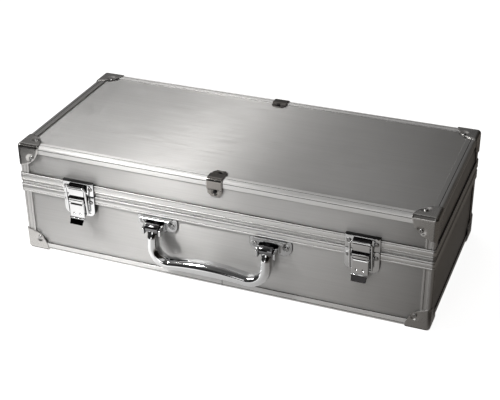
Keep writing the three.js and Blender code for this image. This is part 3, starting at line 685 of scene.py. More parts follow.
for tag, sx, sy in CORNERS:
    ball_corner(f"base_ball_corner_{tag}", sx, sy, False, "base", [f"base_corner_{tag}"])
    ball_corner(f"lid_ball_corner_{tag}", sx, sy, True, "lid", [f"lid_corner_{tag}"])

# ------------------------------------------------------------------ splice clips
for tag, sy in (("front", -1), ("back", 1)):
    LEGC, HALF = 21.3, 8.8
    arc = BALL * math.pi / 2
    total = 2 * (LEGC - BALL) + arc

    def fn(u, v, sy=sy):
        s = u * total
        x = (v * 2 - 1) * HALF
        end = min(s, total - s)
        # ends are clipped to a blunt point
        w = 1.0 - 0.06 * min(1.0, max(0.0, (9.0 - end) / 5.0)) - 0.34 * min(1.0, max(0.0, (4.2 - end) / 4.2))
        x *= w
        if s < LEGC - BALL:
            t, z, n = LEGC - s, 0.0, (0.0, -1.0)
        elif s < LEGC - BALL + arc:
            g = (s - (LEGC - BALL)) / BALL
            n = (-math.sin(g), -math.cos(g))
            t, z = BALL + BALL * n[0], BALL + BALL * n[1]
        else:
            t, z, n = 0.0, BALL + s - (LEGC - BALL + arc), (-1.0, 0.0)
        k = 0.0
        d_end = end
        k += 1.15 * smooth01((9.4 - d_end) / 2.6)      # joggled down on to the panel
        k += 0.65 * (1 - smooth01((math.hypot(d_end - 4.9, x) - 2.4) / 1.7))
        k += 0.25 * smooth01((abs(x) - (HALF * w - 0.7)) / 0.7)
        t, z = t - n[0] * k, z - n[1] * k
        return (x, sy * (D / 2 - t), H - z), (0.0, sy * n[0] * 1.0, n[1])

    def fn2(u, v, sy=sy):
        p, n = fn(u, v)
        # inward direction of the sheet
        return p, (0.0, -n[1] * 1.0, -n[2] * -1.0 if False else n[2])
    bm = bmesh.new()
    core = slab(lambda u, v: fn(u, v), 90, 26, 0.0001)
    core.free()

    def skin(u, v):
        p, n = fn(u, v)
        s = u * total
        if s < LEGC - BALL:
            inn = (0.0, 0.0, -1.0)
        elif s < LEGC - BALL + arc:
            g = (s - (LEGC - BALL)) / BALL
            inn = (0.0, -sy * math.sin(g), -math.cos(g))
        else:
            inn = (0.0, -sy * 1.0, 0.0)
        return p, inn
    bm = slab(skin, 90, 26, 0.8)
    for f in bm.faces:
        f.material_index = 0
    bmesh.ops.recalc_face_normals(bm, faces=bm.faces)
    k = 1.15 + 0.6
    # the rivets take the near-black plate: painted dark reflection
    absorb(bm, rivet((0, sy * (D / 2 - LEGC + 4.9), H - k), (0, 0, 1), 2.2, 1.0), 1)
    absorb(bm, rivet((0, sy * (D / 2 - k), H - LEGC + 4.9), (0, sy, 0), 2.2, 1.0), 1)
    put(f"lid_splice_clip_{tag}", bm, [M_CLIP, M_SHADE_DARK], "lid", [f"lid_clip_{tag}"], 45, doubles=False)

# ------------------------------------------------------------------ lining, trays, pad
tx, ty = W / 2 - 8.5, D / 2 - 8.5
Z_LOW, DECK_L, Z_UP, DECK_U = 7.8, 29.9, 51.2, 73.3
PITCH, CHIP_R, ROW = 43.6, 20.3, 173.0

lo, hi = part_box("base_lining")
bm = bmesh.new()
for a, b, c, d, e, f in ((lo.x, hi.x, lo.y, hi.y, lo.z, lo.z + 0.0012), (lo.x, lo.x + 0.0014, lo.y, hi.y, lo.z, hi.z), (hi.x - 0.0014, hi.x, lo.y, hi.y, lo.z, hi.z),
                         (lo.x, hi.x, lo.y, lo.y + 0.0014, lo.z, hi.z), (lo.x, hi.x, hi.y - 0.0014, hi.y, lo.z, hi.z)):
    absorb(bm, block(a / MM, b / MM, c / MM - SHIFT, d / MM - SHIFT, e / MM, f / MM, 0.45, 3))
put("base_lining_cloth", bm, M_LINE, "base", ["base_lining"], doubles=False)


def tray_height(x, y, deck):
    """Formed skin of a tray: ten half-round rows with eased lips and drafted ends."""
    i = min(9, max(0, round(x / PITCH + 4.5)))
    dx = x - (i - 4.5) * PITCH
    r = CHIP_R
    body = 0.0
    if abs(dx) < r:
        body = math.sqrt(max(r * r - dx * dx, 0.0))
    end = smooth01((ROW / 2 - abs(y)) / 1.6)
    depth = body * end
    # thumb scallop across the middle of the row walls
    lip = max(0.0, abs(dx) - (r - 1.3))
    wall = 7.0 * math.exp(-(y / 17.0) ** 2) * smooth01((abs(dx) - (r - 6.0)) / 5.5) if abs(x) < 4.9 * PITCH - 2 else 0.0
    d = max(depth, 0.0)
    if wall > 0:
        d = max(d, wall)
    # eased lip
    ease = 0.9 * math.exp(-max(abs(dx) - r, 0.0) / 0.8) if abs(dx) >= r else 0.0
    return deck - max(d, ease * end * 0.6)


def tray(name, z0, deck, wall_top, node, body):
    xs = []
    for i in range(10):
        c = (i - 4.5) * PITCH
        for k in range(29):
            a = math.pi * k / 28
            xs.append(c - (CHIP_R - 0.02) * math.cos(a))
        xs += [c - CHIP_R - 0.5, c - CHIP_R - 1.0, c + CHIP_R + 0.5, c + CHIP_R + 1.0]
    xs += [-tx + 0.8, tx - 0.8, -tx + 3.4, tx - 3.4]
    xs = sorted({round(max(-tx + 0.8, min(tx - 0.8, x)), 3) for x in xs})
    ys = sorted({round(y, 3) for y in [-ty + 0.8, ty - 0.8, -ty + 3.4, ty - 3.4, -88.5, 88.5] + [s * (ROW / 2 - d) for s in (-1, 1) for d in (-0.4, 0, 0.3, 0.6, 0.9, 1.2, 1.5, 1.8, 2.4, 5)]
                 + [s * 4.0 * k for s in (-1, 1) for k in range(0, 11)] + [s * q for s in (-1, 1) for q in (50, 60, 70)]})
    bm = bmesh.new()
    top = [[bm.verts.new(V(x, y, tray_height(x, y, deck))) for y in ys] for x in xs]
    bot = [[bm.verts.new(V(x, y, max(z0 + 0.1, tray_height(x, y, deck) - 1.7))) for y in ys] for x in xs]
    nx, ny = len(xs), len(ys)
    for i in range(nx - 1):
        for j in range(ny - 1):
            bm.faces.new((top[i][j], top[i + 1][j], top[i + 1][j + 1], top[i][j + 1]))
            bm.faces.new((bot[i][j], bot[i][j + 1], bot[i + 1][j + 1], bot[i + 1][j]))
    for i in range(nx - 1):
        for j in (0, ny - 1):
            bm.faces.new((top[i][j], bot[i][j], bot[i + 1][j], top[i + 1][j]))
    for j in range(ny - 1):
        for i in (0, nx - 1):
            bm.faces.new((top[i][j], top[i][j + 1], bot[i][j + 1], bot[i][j]))
    bmesh.ops.recalc_face_normals(bm, faces=bm.faces)
    # skirt or wall all round
    z_hi = wall_top if wall_top else deck
    for a, b, c, d in ((-tx, tx, -ty, -ty + 2.0), (-tx, tx, ty - 2.0, ty), (-tx, -tx + 2.0, -ty, ty), (tx - 2.0, tx, -ty, ty)):
        absorb(bm, block(a, b, c, d, z0, z_hi, 0.8, 4))
    return put(name, bm, M_TRAY, body, [node], 50, doubles=False)


tray("lower_chip_tray_formed", Z_LOW, DECK_L, 50.9, "chip_tray_lower", "base")
tray("upper_chip_tray_formed", Z_UP, DECK_U, 0, "chip_tray_upper", "chip_tray_upper")

lo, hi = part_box("lid_pad")
x0, x1, y0, y1 = lo.x / MM, hi.x / MM, lo.y / MM - SHIFT, hi.y / MM - SHIFT
z0, z1 = lo.z / MM, hi.z / MM
bm = bmesh.new()
NX, NY = 170, 74
gb, gt = [], []
for i in range(NX + 1):
    rb, rt = [], []
    for j in range(NY + 1):
        x, y = x0 + (x1 - x0) * i / NX, y0 + (y1 - y0) * j / NY
        edge = min(x - x0, x1 - x, y - y0, y1 - y)
        e = smooth01(edge / 9.0)
        wave = (1 - math.cos(2 * math.pi * (x - x0) / (x1 - x0) * 15) * math.cos(2 * math.pi * (y - y0) / (y1 - y0) * 6.5)) / 2
        rb.append(bm.verts.new(V(x, y, z0 + 0.2 + 7.5 * wave * e + 3.0 * (1 - smooth01(edge / 3.0)))))
        rt.append(bm.verts.new(V(x, y, z1)))
    gb.append(rb)
    gt.append(rt)
for i in range(NX):
    for j in range(NY):
        bm.faces.new((gb[i][j], gb[i][j + 1], gb[i + 1][j + 1], gb[i + 1][j]))
        bm.faces.new((gt[i][j], gt[i + 1][j], gt[i + 1][j + 1], gt[i][j + 1]))
for i in range(NX):
    for j in (0, NY):
        bm.faces.new((gb[i][j], gb[i + 1][j], gt[i + 1][j], gt[i][j]))
for j in range(NY):
    for i in (0, NX):
        bm.faces.new((gb[i][j], gb[i][j + 1], gt[i][j + 1], gt[i][j]))
pad = put("lid_pad_foam", bm, M_FOAM, "lid", ["lid_pad"], 50)

# ------------------------------------------------------------------ handle brackets
BK = -PAN_IN + 0.3
for tag, s in (("left", -1), ("right", 1)):
    cx = HANDLE_X + s * HANDLE_HALF
    bm = bmesh.new()
    plate = rounded(cx - 23.8, cx + 23.8, 56.8, 74.6, (9.5, 9.5, 3.0, 3.0), 10)
    absorb(bm, sheet(plate, "y", F(BK), F(BK + 1.4), 0.85, 3), None)
    # added dark slab behind the eye: painted dark reflection of the shaded gap between the ears
    absorb(bm, block(cx - 8.3, cx + 8.3, F(BK + 1.5), F(BK + 1.2), 59.6, 72.6, 0.1, 1), 2)
    # folded top lip with a rounded bend
    lip = []
    ro, ri, yb = 2.4, 1.1, F(BK)
    lip += [(yb, 71.0), (F(BK + 1.3), 71.0), (F(BK + 1.3), 74.7 - ro)]
    for i in range(7):
        g = math.pi - math.pi / 2 * i / 6
        lip.append((F(BK + ro) - ri * math.cos(g) * -1 - 0.0, 0.0))
    lip = [(F(BK), 70.5), (F(BK), 74.7 - ro)]
    for i in range(1, 8):
        g = math.pi / 2 * i / 8
        lip.append((F(BK + ro * (1 - math.cos(g))), 74.7 - ro + ro * math.sin(g)))
    lip += [(F(BK + ro), 74.7), (F(6.0), 74.7), (F(6.2), 74.5), (F(6.2), 73.6), (F(6.0), 73.4), (F(BK + ro), 73.4)]
    for i in range(1, 8):
        g = math.pi / 2 * (1 - i / 8)
        lip.append((F(BK + ro - ri * math.cos(g)), 74.7 - ro + ri * math.sin(g)))
    lip += [(F(BK + 1.3), 74.7 - ro), (F(BK + 1.3), 70.5)]

    # the underside of the lip is painted dark: painted shade
    bmlip = prism(lip, "x", cx - 18.5, cx + 18.5, 0, dark=range(13, 23), tint=2)
    for v in bmlip.verts:      # the lip narrows towards its free edge
        off = -(v.co.y / MM - SHIFT) - D / 2
        kk = smooth01((off - 0.5) / 5.7)
        v.co.x = cx * MM + (v.co.x - cx * MM) * (1 - 0.10 * kk)
    absorb(bm, bevelled(bmlip, 0.12, 1, 60), None)
    for q in (-1, 1):
        ear = [(F(BK + 0.8), 59.4), (F(9.5), 59.7), (F(15.1), 60.0), (F(15.5), 60.4), (F(15.55), 66.5), (F(15.3), 67.1), (F(14.4), 67.8), (F(4.0), 70.9), (F(BK + 0.8), 71.2)]
        a, b = sorted((cx + q * 8.4, cx + q * 10.9))
        # the inner side faces of the ears are painted dark: painted shade
        absorb(bm, shade(prism(ear, "x", a, b, 0.3, 3), lambda c, n: abs(n.x) > 0.8 and abs(c.x - cx) < 9.0), None)
        # foot of the ear, turned on to the plate
        absorb(bm, prism([(cx + q * 9.4, F(BK + 1.2)), (cx + q * 12.2, F(BK + 1.2)), (cx + q * 11.2, F(BK + 1.6)), (cx + q * 10.4, F(BK + 2.6)), (cx + q * 9.4, F(BK + 2.8))], "z", 60.0, 70.2, 0.1, 1))
        absorb(bm, lathe([(0, 0), (4.5, 0), (4.5, 0.25), (4.0, 0.5), (3.3, 0.55), (3.0, 0.3), (0, 0.3)], (cx + q * 17.4, F(BK + 1.35), 66.2), (0, -1, 0), 30))
        absorb(bm, rivet((cx + q * 17.4, F(BK + 1.6), 66.2), (0, -1, 0), 2.9, 1.3), 1)
        # peened end of the pin
        absorb(bm, lathe([(0, -0.4), (2.9, -0.4), (2.8, 0.35), (2.2, 0.8), (1.2, 1.0), (0, 1.05)], (cx + q * 10.8, F(PIVOT_OFF), PIVOT_Z), (q, 0, 0), 22), 1)
    # the pin between the ears is painted dark: painted shade
    absorb(bm, rod("x", (F(PIVOT_OFF), PIVOT_Z), 2.0, cx - 10.2, cx + 10.2), 2)
    put(f"handle_bracket_{tag}_plate", bm, [M_BRACKET, M_RIVET, M_SHADE_DARK], "base", [f"handle_bracket_{tag}"], 35, doubles=False)

# ------------------------------------------------------------------ carrying handle
pts, rad = [], []


def hput(x, s, rx, ry):
    k = s / DROP
    pts.append(V(HANDLE_X + x, F(PIVOT_OFF + LEAN * k), PIVOT_Z - s))
    rad.append((rx, ry))


def arch(x):
    return 3.0 * (1 - (x / (HANDLE_HALF - BEND)) ** 2)


half = []
for i in range(13):
    k = i / 12
    s = 2.2 + (DROP - BEND - 2.2) * k
    half.append((-HANDLE_HALF, s, 5.3 + 3.2 * smooth01(k * 2.0), 5.7 + 0.6 * smooth01(k * 1.5)))
for i in range(1, 19):
    a = math.pi / 2 * i / 18
    half.append((-HANDLE_HALF + BEND - BEND * math.cos(a), DROP - BEND + BEND * math.sin(a), 8.5 - 0.3 * i / 18, 6.3 + 0.55 * smooth01(i / 18)))
for i in range(1, 20):
    x = -(HANDLE_HALF - BEND) * (1 - i / 20)
    g = smooth01(1 - abs(x) / (HANDLE_HALF - BEND))
    half.append((x, DROP - arch(x), 8.2 + 1.0 * g, 6.85 + 1.65 * g))
for x, s, a, b in half:
    hput(x, s, a, b)
hput(0.0, DROP - arch(0), 9.2, 8.5)
for x, s, a, b in reversed(half):
    hput(-x, s, a, b)
bm = tube(pts, rad, Vector((0, 1, 0)), 36)
bmesh.ops.recalc_face_normals(bm, faces=bm.faces)
for q in (-1, 1):
    cx = HANDLE_X + q * HANDLE_HALF
    # the eyes take the darkened chrome: painted dark reflection
    absorb(bm, lathe([(2.35, -7.6), (4.7, -7.6), (5.2, -7.3), (5.35, -6.8), (5.35, 6.8), (5.2, 7.3), (4.7, 7.6), (2.35, 7.6), (2.35, -7.6)],
                     (cx, F(PIVOT_OFF), PIVOT_Z), (1, 0, 0), 36), 1)
put("carry_handle_cast", bm, [M_CHROME, M_EYE], "handle", ["handle"], 55, doubles=False)

# ------------------------------------------------------------------ latches
for tag, cx in (("left", -LATCH_X), ("right", LATCH_X)):
    HL = 18.5
    # keeper on the lid
    bm = bmesh.new()
    absorb(bm, sheet(rounded(cx - HL, cx + HL, ZL0 + 0.1, 100.9, (0.4, 0.4, 1.0, 1.0), 3), "y", F(0.3), F(1.5), 0.35, 2), None)
    lipo = [(cx - HL, F(-2.2)), (cx + HL, F(-2.2)), (cx + HL, F(1.6)), (cx + HL - 1.6, F(3.6)), (cx + HL - 2.6, F(4.15)), (cx - HL + 2.6, F(4.15)), (cx - HL + 1.6, F(3.6)), (cx - HL, F(1.6))]
    # top and underside of the lip are painted dark: painted dark reflection
    absorb(bm, shade(prism(lipo, "z", 99.75, 101.0, 0.25, 2), lambda c, n: n.z > 0.8 or n.z < -0.8), None)
    hook = [(F(1.2), 98.9)]
    for i in range(9):
        g = math.pi / 2 * i / 8
        hook.append((F(4.6 + 2.3 * math.sin(g)), 96.6 + 2.3 * math.cos(g)))
    hook += [(F(6.9), 93.2), (F(6.95), 92.8), (F(6.95), 85.7), (F(6.7), 85.4), (F(5.9), 85.4), (F(5.7), 85.7), (F(5.7), 96.3)]
    for i in range(7):
        g = math.pi / 2 * (1 - i / 6)
        hook.append((F(4.6 + 1.1 * math.sin(g)), 96.6 + 1.1 * math.cos(g) - 0.0))
    hook += [(F(1.2), 97.7)]
    # the hook's top roll, ends and back faces are painted dark: painted dark reflection
    absorb(bm, shade(prism(hook, "x", cx - 9, cx + 9, 0.15, 1), lambda c, n: c.z > 93.4 or abs(n.x) > 0.8 or n.y > -0.3), None)
    for q in (-1, 1):
        absorb(bm, rivet((cx + q * 14.6, F(1.45), 93.4), (0, -1, 0), 2.7, 1.25), 1)
    put(f"latch_keeper_{tag}_plate", bm, [M_CHROME, M_RIVET, M_SHADE_DARK], "lid", [f"latch_keeper_{tag}"], 35, doubles=False)

    # base plate with ears and pin
    bm = bmesh.new()
    absorb(bm, sheet(rounded(cx - HL, cx + HL, 59.3, ZR1 - 0.1, (7, 7, 0.4, 0.4), 8), "y", F(0.3), F(1.5), 0.6, 3), None)
    wall = rounded(cx - HL, cx + HL, 59.3, ZR0 - 0.35, (7, 7, 0.3, 0.3), 8)
    wi = rounded(cx - HL + 1.1, cx + HL - 1.1, 60.4, ZR0 - 0.35, (6, 6, 0.3, 0.3), 8)
    w = bmesh.new()
    for (o1, o2), lim in (((wall, wi), None),):
        yo, yi = F(-2.2), F(0.6)
        A = [w.verts.new(V(u, yo, v)) for u, v in o1]
        Bv = [w.verts.new(V(u, yi, v)) for u, v in o1]
        C = [w.verts.new(V(u, yi, v)) for u, v in o2]
        Dv = [w.verts.new(V(u, yo, v)) for u, v in o2]
        n = len(A)
        for i in range(n):
            j = (i + 1) % n
            for r0, r1 in ((A, Bv), (Bv, C), (C, Dv), (Dv, A)):
                w.faces.new((r0[i], r0[j], r1[j], r1[i]))
    # the wall round the plate is painted dark: painted shade
    absorb(bm, w, 2)
    for q in (-1, 1):
        a, b = sorted((cx + q * 9.3, cx + q * 10.1))
        ear = [(F(1.3), 76.4), (F(5.0), 77.1)]
        for i in range(9):
            g = -math.pi / 2 + math.pi * i / 8
            ear.append((F(4.6 + 3.0 * math.cos(g)), 80.4 + 3.2 * math.sin(g)))
        ear += [(F(1.3), 83.9)]
        # the ears and, below, the pin are painted dark: painted shade
        absorb(bm, prism(ear, "x", a, b, 0.15, 2), 2)
        absorb(bm, rivet((cx + q * 14.6, F(1.45), 77.2), (0, -1, 0), 2.7, 1.25), 1)
    absorb(bm, rod("x", (F(LPIV_OFF), LPIV_Z), 1.15, cx - 10.3, cx + 10.3, 18), 2)
    put(f"latch_base_{tag}_plate", bm, [M_CHROME, M_RIVET, M_SHADE_DARK], "base", [f"latch_base_{tag}"], 35, doubles=False)

    # lever
    bm = bmesh.new()

    def leverface(u, v, cx=cx):
        # u down the lever from the slot to the lip, v across
        z = 75.6 - u * (75.6 - 59.5)
        x = (v * 2 - 1) * 9.0
        k = 0.0
        for dx in (-3.6, 3.6):
            k += 0.95 * (1 - smooth01((math.hypot(x - dx, z - 64.6) - 0.55) / 0.95))
        edge = min(9.0 - abs(x), 3.0)
        k += 0.5 * (1 - smooth01(edge / 0.9)) ** 2
        top = 75.6 - z
        k += 0.35 * (1 - smooth01(top / 0.7))
        return (cx + x, F(8.2 - k), z), (0.0, 1.0, 0.0)
    # the centres of the dimples are painted dark: painted dark reflection
    face = shade(slab(leverface, 60, 60, 0.9), lambda c, n: min(math.hypot(c.x - cx - q, c.z - 64.6) for q in (-3.6, 3.6)) < 0.95 and n.y < 0)
    absorb(bm, face, None)
    # upper bridge between barrel and face, either side of the slot
    for q in (-1, 1):
        a, b = sorted((cx + q * 7.0, cx + q * 9.0))
        absorb(bm, block(a, b, F(8.15), F(7.1), 75.0, 78.6, 0.2, 2))
    # rolled barrel round the pin
    bar = [(F(LPIV_OFF + 3.2 * math.cos(g)), LPIV_Z + 3.2 * math.sin(g)) for g in (2 * math.pi * i / 28 for i in range(28))]
    # the barrel is painted dark: painted shade
    absorb(bm, lathe([(1.5, -8.95), (2.9, -8.95), (3.15, -8.7), (3.2, -8.3), (3.2, 8.3), (3.15, 8.7), (2.9, 8.95), (1.5, 8.95), (1.5, -8.95)], (cx, F(LPIV_OFF), LPIV_Z), (1, 0, 0), 32), 2)
    strip = [(F(6.2), 82.9), (F(7.3), 83.0), (F(7.8), 82.85), (F(8.1), 82.4), (F(8.15), 81.9), (F(8.15), 77.3), (F(7.9), 77.0), (F(6.6), 77.0), (F(6.2), 78.6)]
    # the ends, top and bottom of the strip are painted dark: painted shade
    absorb(bm, shade(prism(strip, "x", cx - 8.95, cx + 8.95, 0.12, 2), lambda c, n: abs(n.x) > 0.8 or n.z < -0.5 or n.z > 0.5), None)
    # dark strip inside the slot: painted shade
    absorb(bm, block(cx - 7.4, cx + 7.4, F(6.5), F(5.6), 75.2, 77.6, 0.1, 1), 1)
    # bottom lip and flared finger tab
    tab = [(F(7.4), 60.2), (F(8.15), 60.0), (F(8.75), 59.5), (F(9.35), 59.2), (F(9.6), 58.8), (F(9.55), 58.3), (F(9.9), 57.4), (F(12.9), 53.2), (F(12.95), 52.75), (F(12.5), 52.5), (F(12.05), 52.6),
           (F(9.1), 56.6), (F(8.5), 57.9), (F(8.1), 58.7), (F(7.4), 59.2)]
    bt = prism(tab, "x", cx - 8.9, cx + 8.9, 0.1, 1)
    for v in bt.verts:
        z = v.co.z / MM
        if z < 58.6:
            kk = 1 - 0.14 * smooth01((58.6 - z) / 1.2)
            v.co.x = cx * MM + (v.co.x - cx * MM) * kk
    # the tab's lower part and ends are painted dark: painted dark reflection
    absorb(bm, shade(bt, lambda c, n: c.z < 57.9 or abs(n.x) > 0.8), None)
    for q in (-1, 1):
        a, b = sorted((cx + q * 7.9, cx + q * 8.95))
        side = [(F(7.9), 75.4), (F(5.6), 75.0), (F(4.0), 73.2), (F(3.1), 70.6), (F(3.0), 62.6), (F(3.5), 61.4), (F(7.6), 59.7), (F(7.9), 60.0)]
        # the side cheeks are painted dark: painted shade
        absorb(bm, prism(side, "x", a, b, 0.2, 2), 2)
    put(f"latch_lever_{tag}_pressed", bm, [M_CHROME, M_SHADE_LINE, M_SHADE_DARK], f"latch_lever_{tag}", [f"latch_lever_{tag}"], 38, doubles=False)

    # wire bail
    def BP(x, off, z, cx=cx):
        return V(cx + x, F(off), z)

    path = [(-6.9, BPIV_OFF, BPIV_Z), (-8.6, BPIV_OFF, BPIV_Z), (-9.8, BPIV_OFF, BPIV_Z)]
    for i in range(1, 7):
        g = math.pi / 2 * i / 6
        path.append((-9.8 - 1.8 * math.sin(g), BPIV_OFF + 0.17 * (1 - math.cos(g)), BPIV_Z + 1.8 * (1 - math.cos(g))))
    for i in range(1, 9):
        k = i / 8
        z = BPIV_Z + 1.8 + (BTOP_Z - 2.6 - BPIV_Z - 1.8) * k
        off = BPIV_OFF + (BTOP_OFF - BPIV_OFF) * (z - BPIV_Z) / (BTOP_Z - BPIV_Z)
        path.append((-BAIL_X, off, z))
    for i in range(1, 7):
        g = math.pi / 2 * i / 6
        path.append((-BAIL_X + 2.6 * (1 - math.cos(g)), BTOP_OFF - 0.25 * (1 - math.sin(g)), BTOP_Z - 2.6 + 2.6 * math.sin(g)))
    path += [(-6.5, BTOP_OFF, BTOP_Z), (-3.0, BTOP_OFF, BTOP_Z)]
    allp = path + [(0.0, BTOP_OFF, BTOP_Z)] + [(-x, o, z) for x, o, z in reversed(path)]
    bm = tube([BP(*p) for p in allp], [(1.14, 1.14)] * len(allp), Vector((0, -1, 0.096)), 18)
    put(f"latch_bail_{tag}_wire", bm, M_CHROME, f"latch_bail_{tag}", [f"latch_bail_{tag}"], 50, doubles=False)

# ------------------------------------------------------------------ hinges
for tag, cx in (("left", -HINGE_X), ("right", HINGE_X)):
    h, k = 25.0, 8.7
    bm = bmesh.new()
    absorb(bm, sheet(rounded(cx - h, cx + h, 62.1, 81.3, (4, 4, 0.4, 0.4), 6), "y", B(0.3), B(1.5), 0.2, 2), None)
    absorb(bm, prism(rounded(cx - h + 0.6, cx + h - 0.6, 62.4, 74.6, (3.6, 3.6, 0.3, 0.3), 6), "y", B(-2.2), B(0.5), 0.2, 2))
    absorb(bm, rod("x", (B(HINGE_OFF), HINGE_Z), 1.2, cx - h + 0.1, cx + h - 0.1, 20), 1)
    for q in (-1, 1):
        a, b = sorted((cx + q * 9.05, cx + q * 24.95))
        absorb(bm, rod("x", (B(HINGE_OFF), HINGE_Z), 2.98, a, b, 32, 0.35))
        absorb(bm, prism([(B(0.4), 80.2), (B(1.5), 80.2), (B(1.6), 81.6), (B(2.4), 82.6), (B(2.4), HINGE_Z), (B(0.5), HINGE_Z)], "x", a, b, 0.12, 1))
        absorb(bm, rivet((cx + q * 18, B(1.45), 68), (0, 1, 0), 2.4, 1.1), 1)
    put(f"hinge_base_leaf_{tag}_plate", bm, [M_CHROME, M_RIVET, M_SHADE_DARK], "base", [f"hinge_base_leaf_{tag}"], 35, doubles=False)
    bm = bmesh.new()
    absorb(bm, sheet(rounded(cx - h, cx + h, 88.25, 97.75, (0.4, 0.4, 3, 3), 6), "y", B(0.3), B(1.5), 0.2, 2), None)
    absorb(bm, lathe([(1.6, -k + 0.05), (2.7, -k + 0.05), (2.98, -k + 0.35), (2.98, k - 0.35), (2.7, k - 0.05), (1.6, k - 0.05), (1.6, -k + 0.05)], (cx, B(HINGE_OFF), HINGE_Z), (1, 0, 0), 32))
    absorb(bm, prism([(B(0.5), 86.9), (B(2.4), 86.9), (B(1.6), 88.2), (B(1.5), 89.4), (B(0.4), 89.4)], "x", cx - k + 0.1, cx + k - 0.1, 0.12, 1))
    for q in (-1, 1):
        absorb(bm, rivet((cx + q * 18, B(1.45), 93.2), (0, 1, 0), 2.4, 1.1), 1)
    put(f"hinge_lid_leaf_{tag}_plate", bm, [M_CHROME, M_RIVET, M_SHADE_DARK], "lid", [f"hinge_lid_leaf_{tag}"], 35, doubles=False)

# ------------------------------------------------------------------ stage: floor, cards, lights, world, camera
def stage_plane(name, x0, x1, y0, y1, z, mat):
    me = bpy.data.meshes.new(name)
    me.from_pydata([(x0, y0, z), (x1, y0, z), (x1, y1, z), (x0, y1, z)], [], [(0, 1, 2, 3)])
    me.materials.append(mat)
    o = bpy.data.objects.new(name, me)
    bpy.context.scene.collection.objects.link(o)
    return o


m, nt, bs = node_mat("floor_pale")
tc = nt.nodes.new("ShaderNodeTexCoord")
n = noise(nt, tc.outputs["Object"], 3.0, 2.0)
link(nt, ramp(nt, n, [(0.3, (0.90, 0.90, 0.90)), (0.7, (0.93, 0.93, 0.93))]), bs.inputs["Base Color"])
bs.inputs["Roughness"].default_value = 0.9
bs.inputs["Specular IOR Level"].default_value = 0.1
bs.inputs["Emission Color"].default_value = (1, 1, 1, 1)
bs.inputs["Emission Strength"].default_value = 0.9
floor = stage_plane("floor", -30, 30, -30, 30, 0.0, m)
floor.visible_glossy = False


def glow_card(name, x0, x1, y0, y1, z, stops, axis_from, axis_to, along="x"):
    """A card that only reflections see, with a tone that changes along one direction."""
    m, nt, bs = node_mat(name)
    nt.nodes.remove(bs)
    out = [x for x in nt.nodes if x.type == "OUTPUT_MATERIAL"][0]
    tc = nt.nodes.new("ShaderNodeTexCoord")
    sep = nt.nodes.new("ShaderNodeSeparateXYZ")
    link(nt, tc.outputs["Object"], sep.inputs[0])
    fac = maprange(nt, sep.outputs["xyz".index(along)], axis_from, axis_to, 0.0, 1.0)
    em = nt.nodes.new("ShaderNodeEmission")
    link(nt, ramp(nt, fac, stops), em.inputs[0])
    link(nt, em.outputs[0], out.inputs[0])
    c = stage_plane(name, x0, x1, y0, y1, z, m)
    c.visible_camera = c.visible_diffuse = c.visible_transmission = c.visible_shadow = c.visible_volume_scatter = False
    return c


# what the metal mirrors below it: a table that is pale on the left and in the case's own shade on the right
def grey(level, warm=0.03):
    return (level, level * (1 - warm * 0.5), level * (1 - warm))


glow_card("card_table", -0.335, 6.0, -6.0, 6.0, 0.0004,
          [(0.0, grey(0.40 * TABLE)), (0.417, grey(0.60 * TABLE)), (0.454, grey(0.80 * TABLE)), (0.472, grey(0.80 * TABLE)), (0.485, grey(0.5 * TABLE_R)), (0.509, grey(0.4 * TABLE_R)),
           (0.53, grey(0.24 * TABLE_R, 0.08)), (0.558, grey(0.15 * TABLE_R, 0.10)), (0.5625, grey(0.03 * TABLE_R, 0.2)), (0.5665, grey(0.035 * TABLE_R, 0.2)), (0.575, grey(0.09 * TABLE_R, 0.2)), (1.0, grey(0.07 * TABLE_R, 0.25))], -2.0, 2.0)


def area(name, loc, target, sx, sy, power, color=(1, 1, 1), spread=180):
    l = bpy.data.lights.new(name, "AREA")
    l.shape, l.size, l.size_y, l.energy, l.color = "RECTANGLE", sx, sy, power, color
    l.spread = math.radians(spread)
    o = bpy.data.objects.new(name, l)
    o.location = loc
    o.rotation_euler = (Vector(target) - Vector(loc)).to_track_quat("-Z", "Y").to_euler()
    bpy.context.scene.collection.objects.link(o)
    return o


area("key_left", (-0.34, -0.42, 0.60), (0, -0.05, 0.06), 0.11, 0.11, KEY, (1.0, 0.985, 0.965))
area("lift_right", (0.16, -0.60, 0.85), (0.1, -0.05, 0.06), 0.35, 0.90, LIFT_R, (1.0, 0.99, 0.98))
area("lift_front", (0.02, -1.15, 0.30), (0.05, -0.10, 0.06), 0.40, 0.45, LIFT_F, (1.0, 0.99, 0.98))
area("lift_left", (-0.80, -0.45, 0.62), (-0.1, -0.05, 0.06), 0.30, 0.25, LIFT_L, (1.0, 0.99, 0.98))

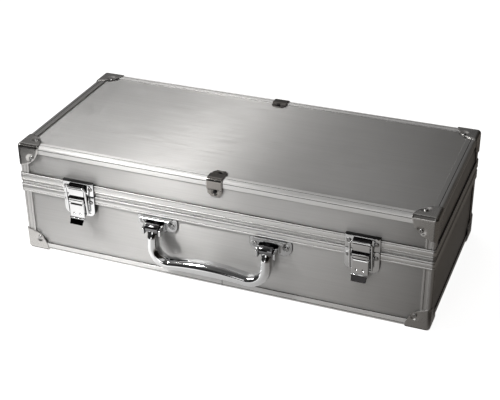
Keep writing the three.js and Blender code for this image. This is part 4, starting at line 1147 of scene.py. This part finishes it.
world = bpy.data.worlds.new("studio")
bpy.context.scene.world = world
world.use_nodes = True
nt = world.node_tree
for x in list(nt.nodes):
    nt.nodes.remove(x)
wo = nt.nodes.new("ShaderNodeOutputWorld")
bg = nt.nodes.new("ShaderNodeBackground")
tc = nt.nodes.new("ShaderNodeTexCoord")
sep = nt.nodes.new("ShaderNodeSeparateXYZ")
link(nt, tc.outputs["Generated"], sep.inputs[0])
wx = maprange(nt, sep.outputs[0], -1.0, 1.0, 0.0, 1.0)
wy = maprange(nt, sep.outputs[1], -0.25, 0.45, 0.0, 1.0)
wm = nt.nodes.new("ShaderNodeMix")
wm.data_type, wm.blend_type = "RGBA", "MULTIPLY"
wm.inputs[0].default_value = 1.0
link(nt, ramp(nt, wx, [(0.0, grey(0.20 * ROOM)), (0.30, grey(0.16 * ROOM)), (0.42, grey(0.10 * ROOM)), (0.5, grey(0.07 * ROOM)), (0.65, grey(0.030 * ROOM, 0.20)), (1.0, grey(0.022 * ROOM, 0.28))]), wm.inputs[6])
link(nt, ramp(nt, wy, [(0.0, (0.22, 0.22, 0.22)), (1.0, (1.0, 1.0, 1.0))]), wm.inputs[7])
wt = nt.nodes.new("ShaderNodeMix")
wt.data_type, wt.blend_type = "RGBA", "MULTIPLY"
wt.inputs[0].default_value = 1.0
link(nt, wm.outputs[2], wt.inputs[6])
link(nt, ramp(nt, sep.outputs[2], [(0.0, (0.30, 0.30, 0.30)), (0.50, (0.42, 0.42, 0.42)), (0.62, (1.5, 1.5, 1.5)), (1.0, (1.5, 1.5, 1.5))]), wt.inputs[7])
link(nt, wt.outputs[2], bg.inputs[0])
bg.inputs[1].default_value = 1.0
link(nt, bg.outputs[0], wo.inputs[0])

sc = bpy.context.scene
sc.view_settings.view_transform = "Standard"
sc.view_settings.look = "None"
sc.view_settings.exposure = 0.0

# camera: solved from the case's own corners
AZ, EL, ROLL = math.radians(21.55), math.radians(29.743), math.radians(-0.539)
DIST, TX, TY, FPX = 1306.7, -2.16, 45.7, 1124.1
back = Vector((math.sin(AZ) * math.cos(EL), -math.cos(AZ) * math.cos(EL), math.sin(EL)))
right = Vector((0, 0, 1)).cross(back).normalized()
up = back.cross(right)
r2 = right * math.cos(ROLL) + up * math.sin(ROLL)
u2 = up * math.cos(ROLL) - right * math.sin(ROLL)
loc = r2 * TX + u2 * TY + back * DIST
cam_data = bpy.data.cameras.new("camera")
cam_data.sensor_width = 36.0
cam_data.lens = FPX / 500.0 * 36.0
cam_data.clip_start, cam_data.clip_end = 0.05, 100.0
cam = bpy.data.objects.new("camera", cam_data)
mw = Matrix((r2, u2, back)).transposed().to_4x4()
mw.translation = V(loc.x, loc.y, loc.z)
cam.matrix_world = mw
sc.collection.objects.link(cam)
sc.camera = cam
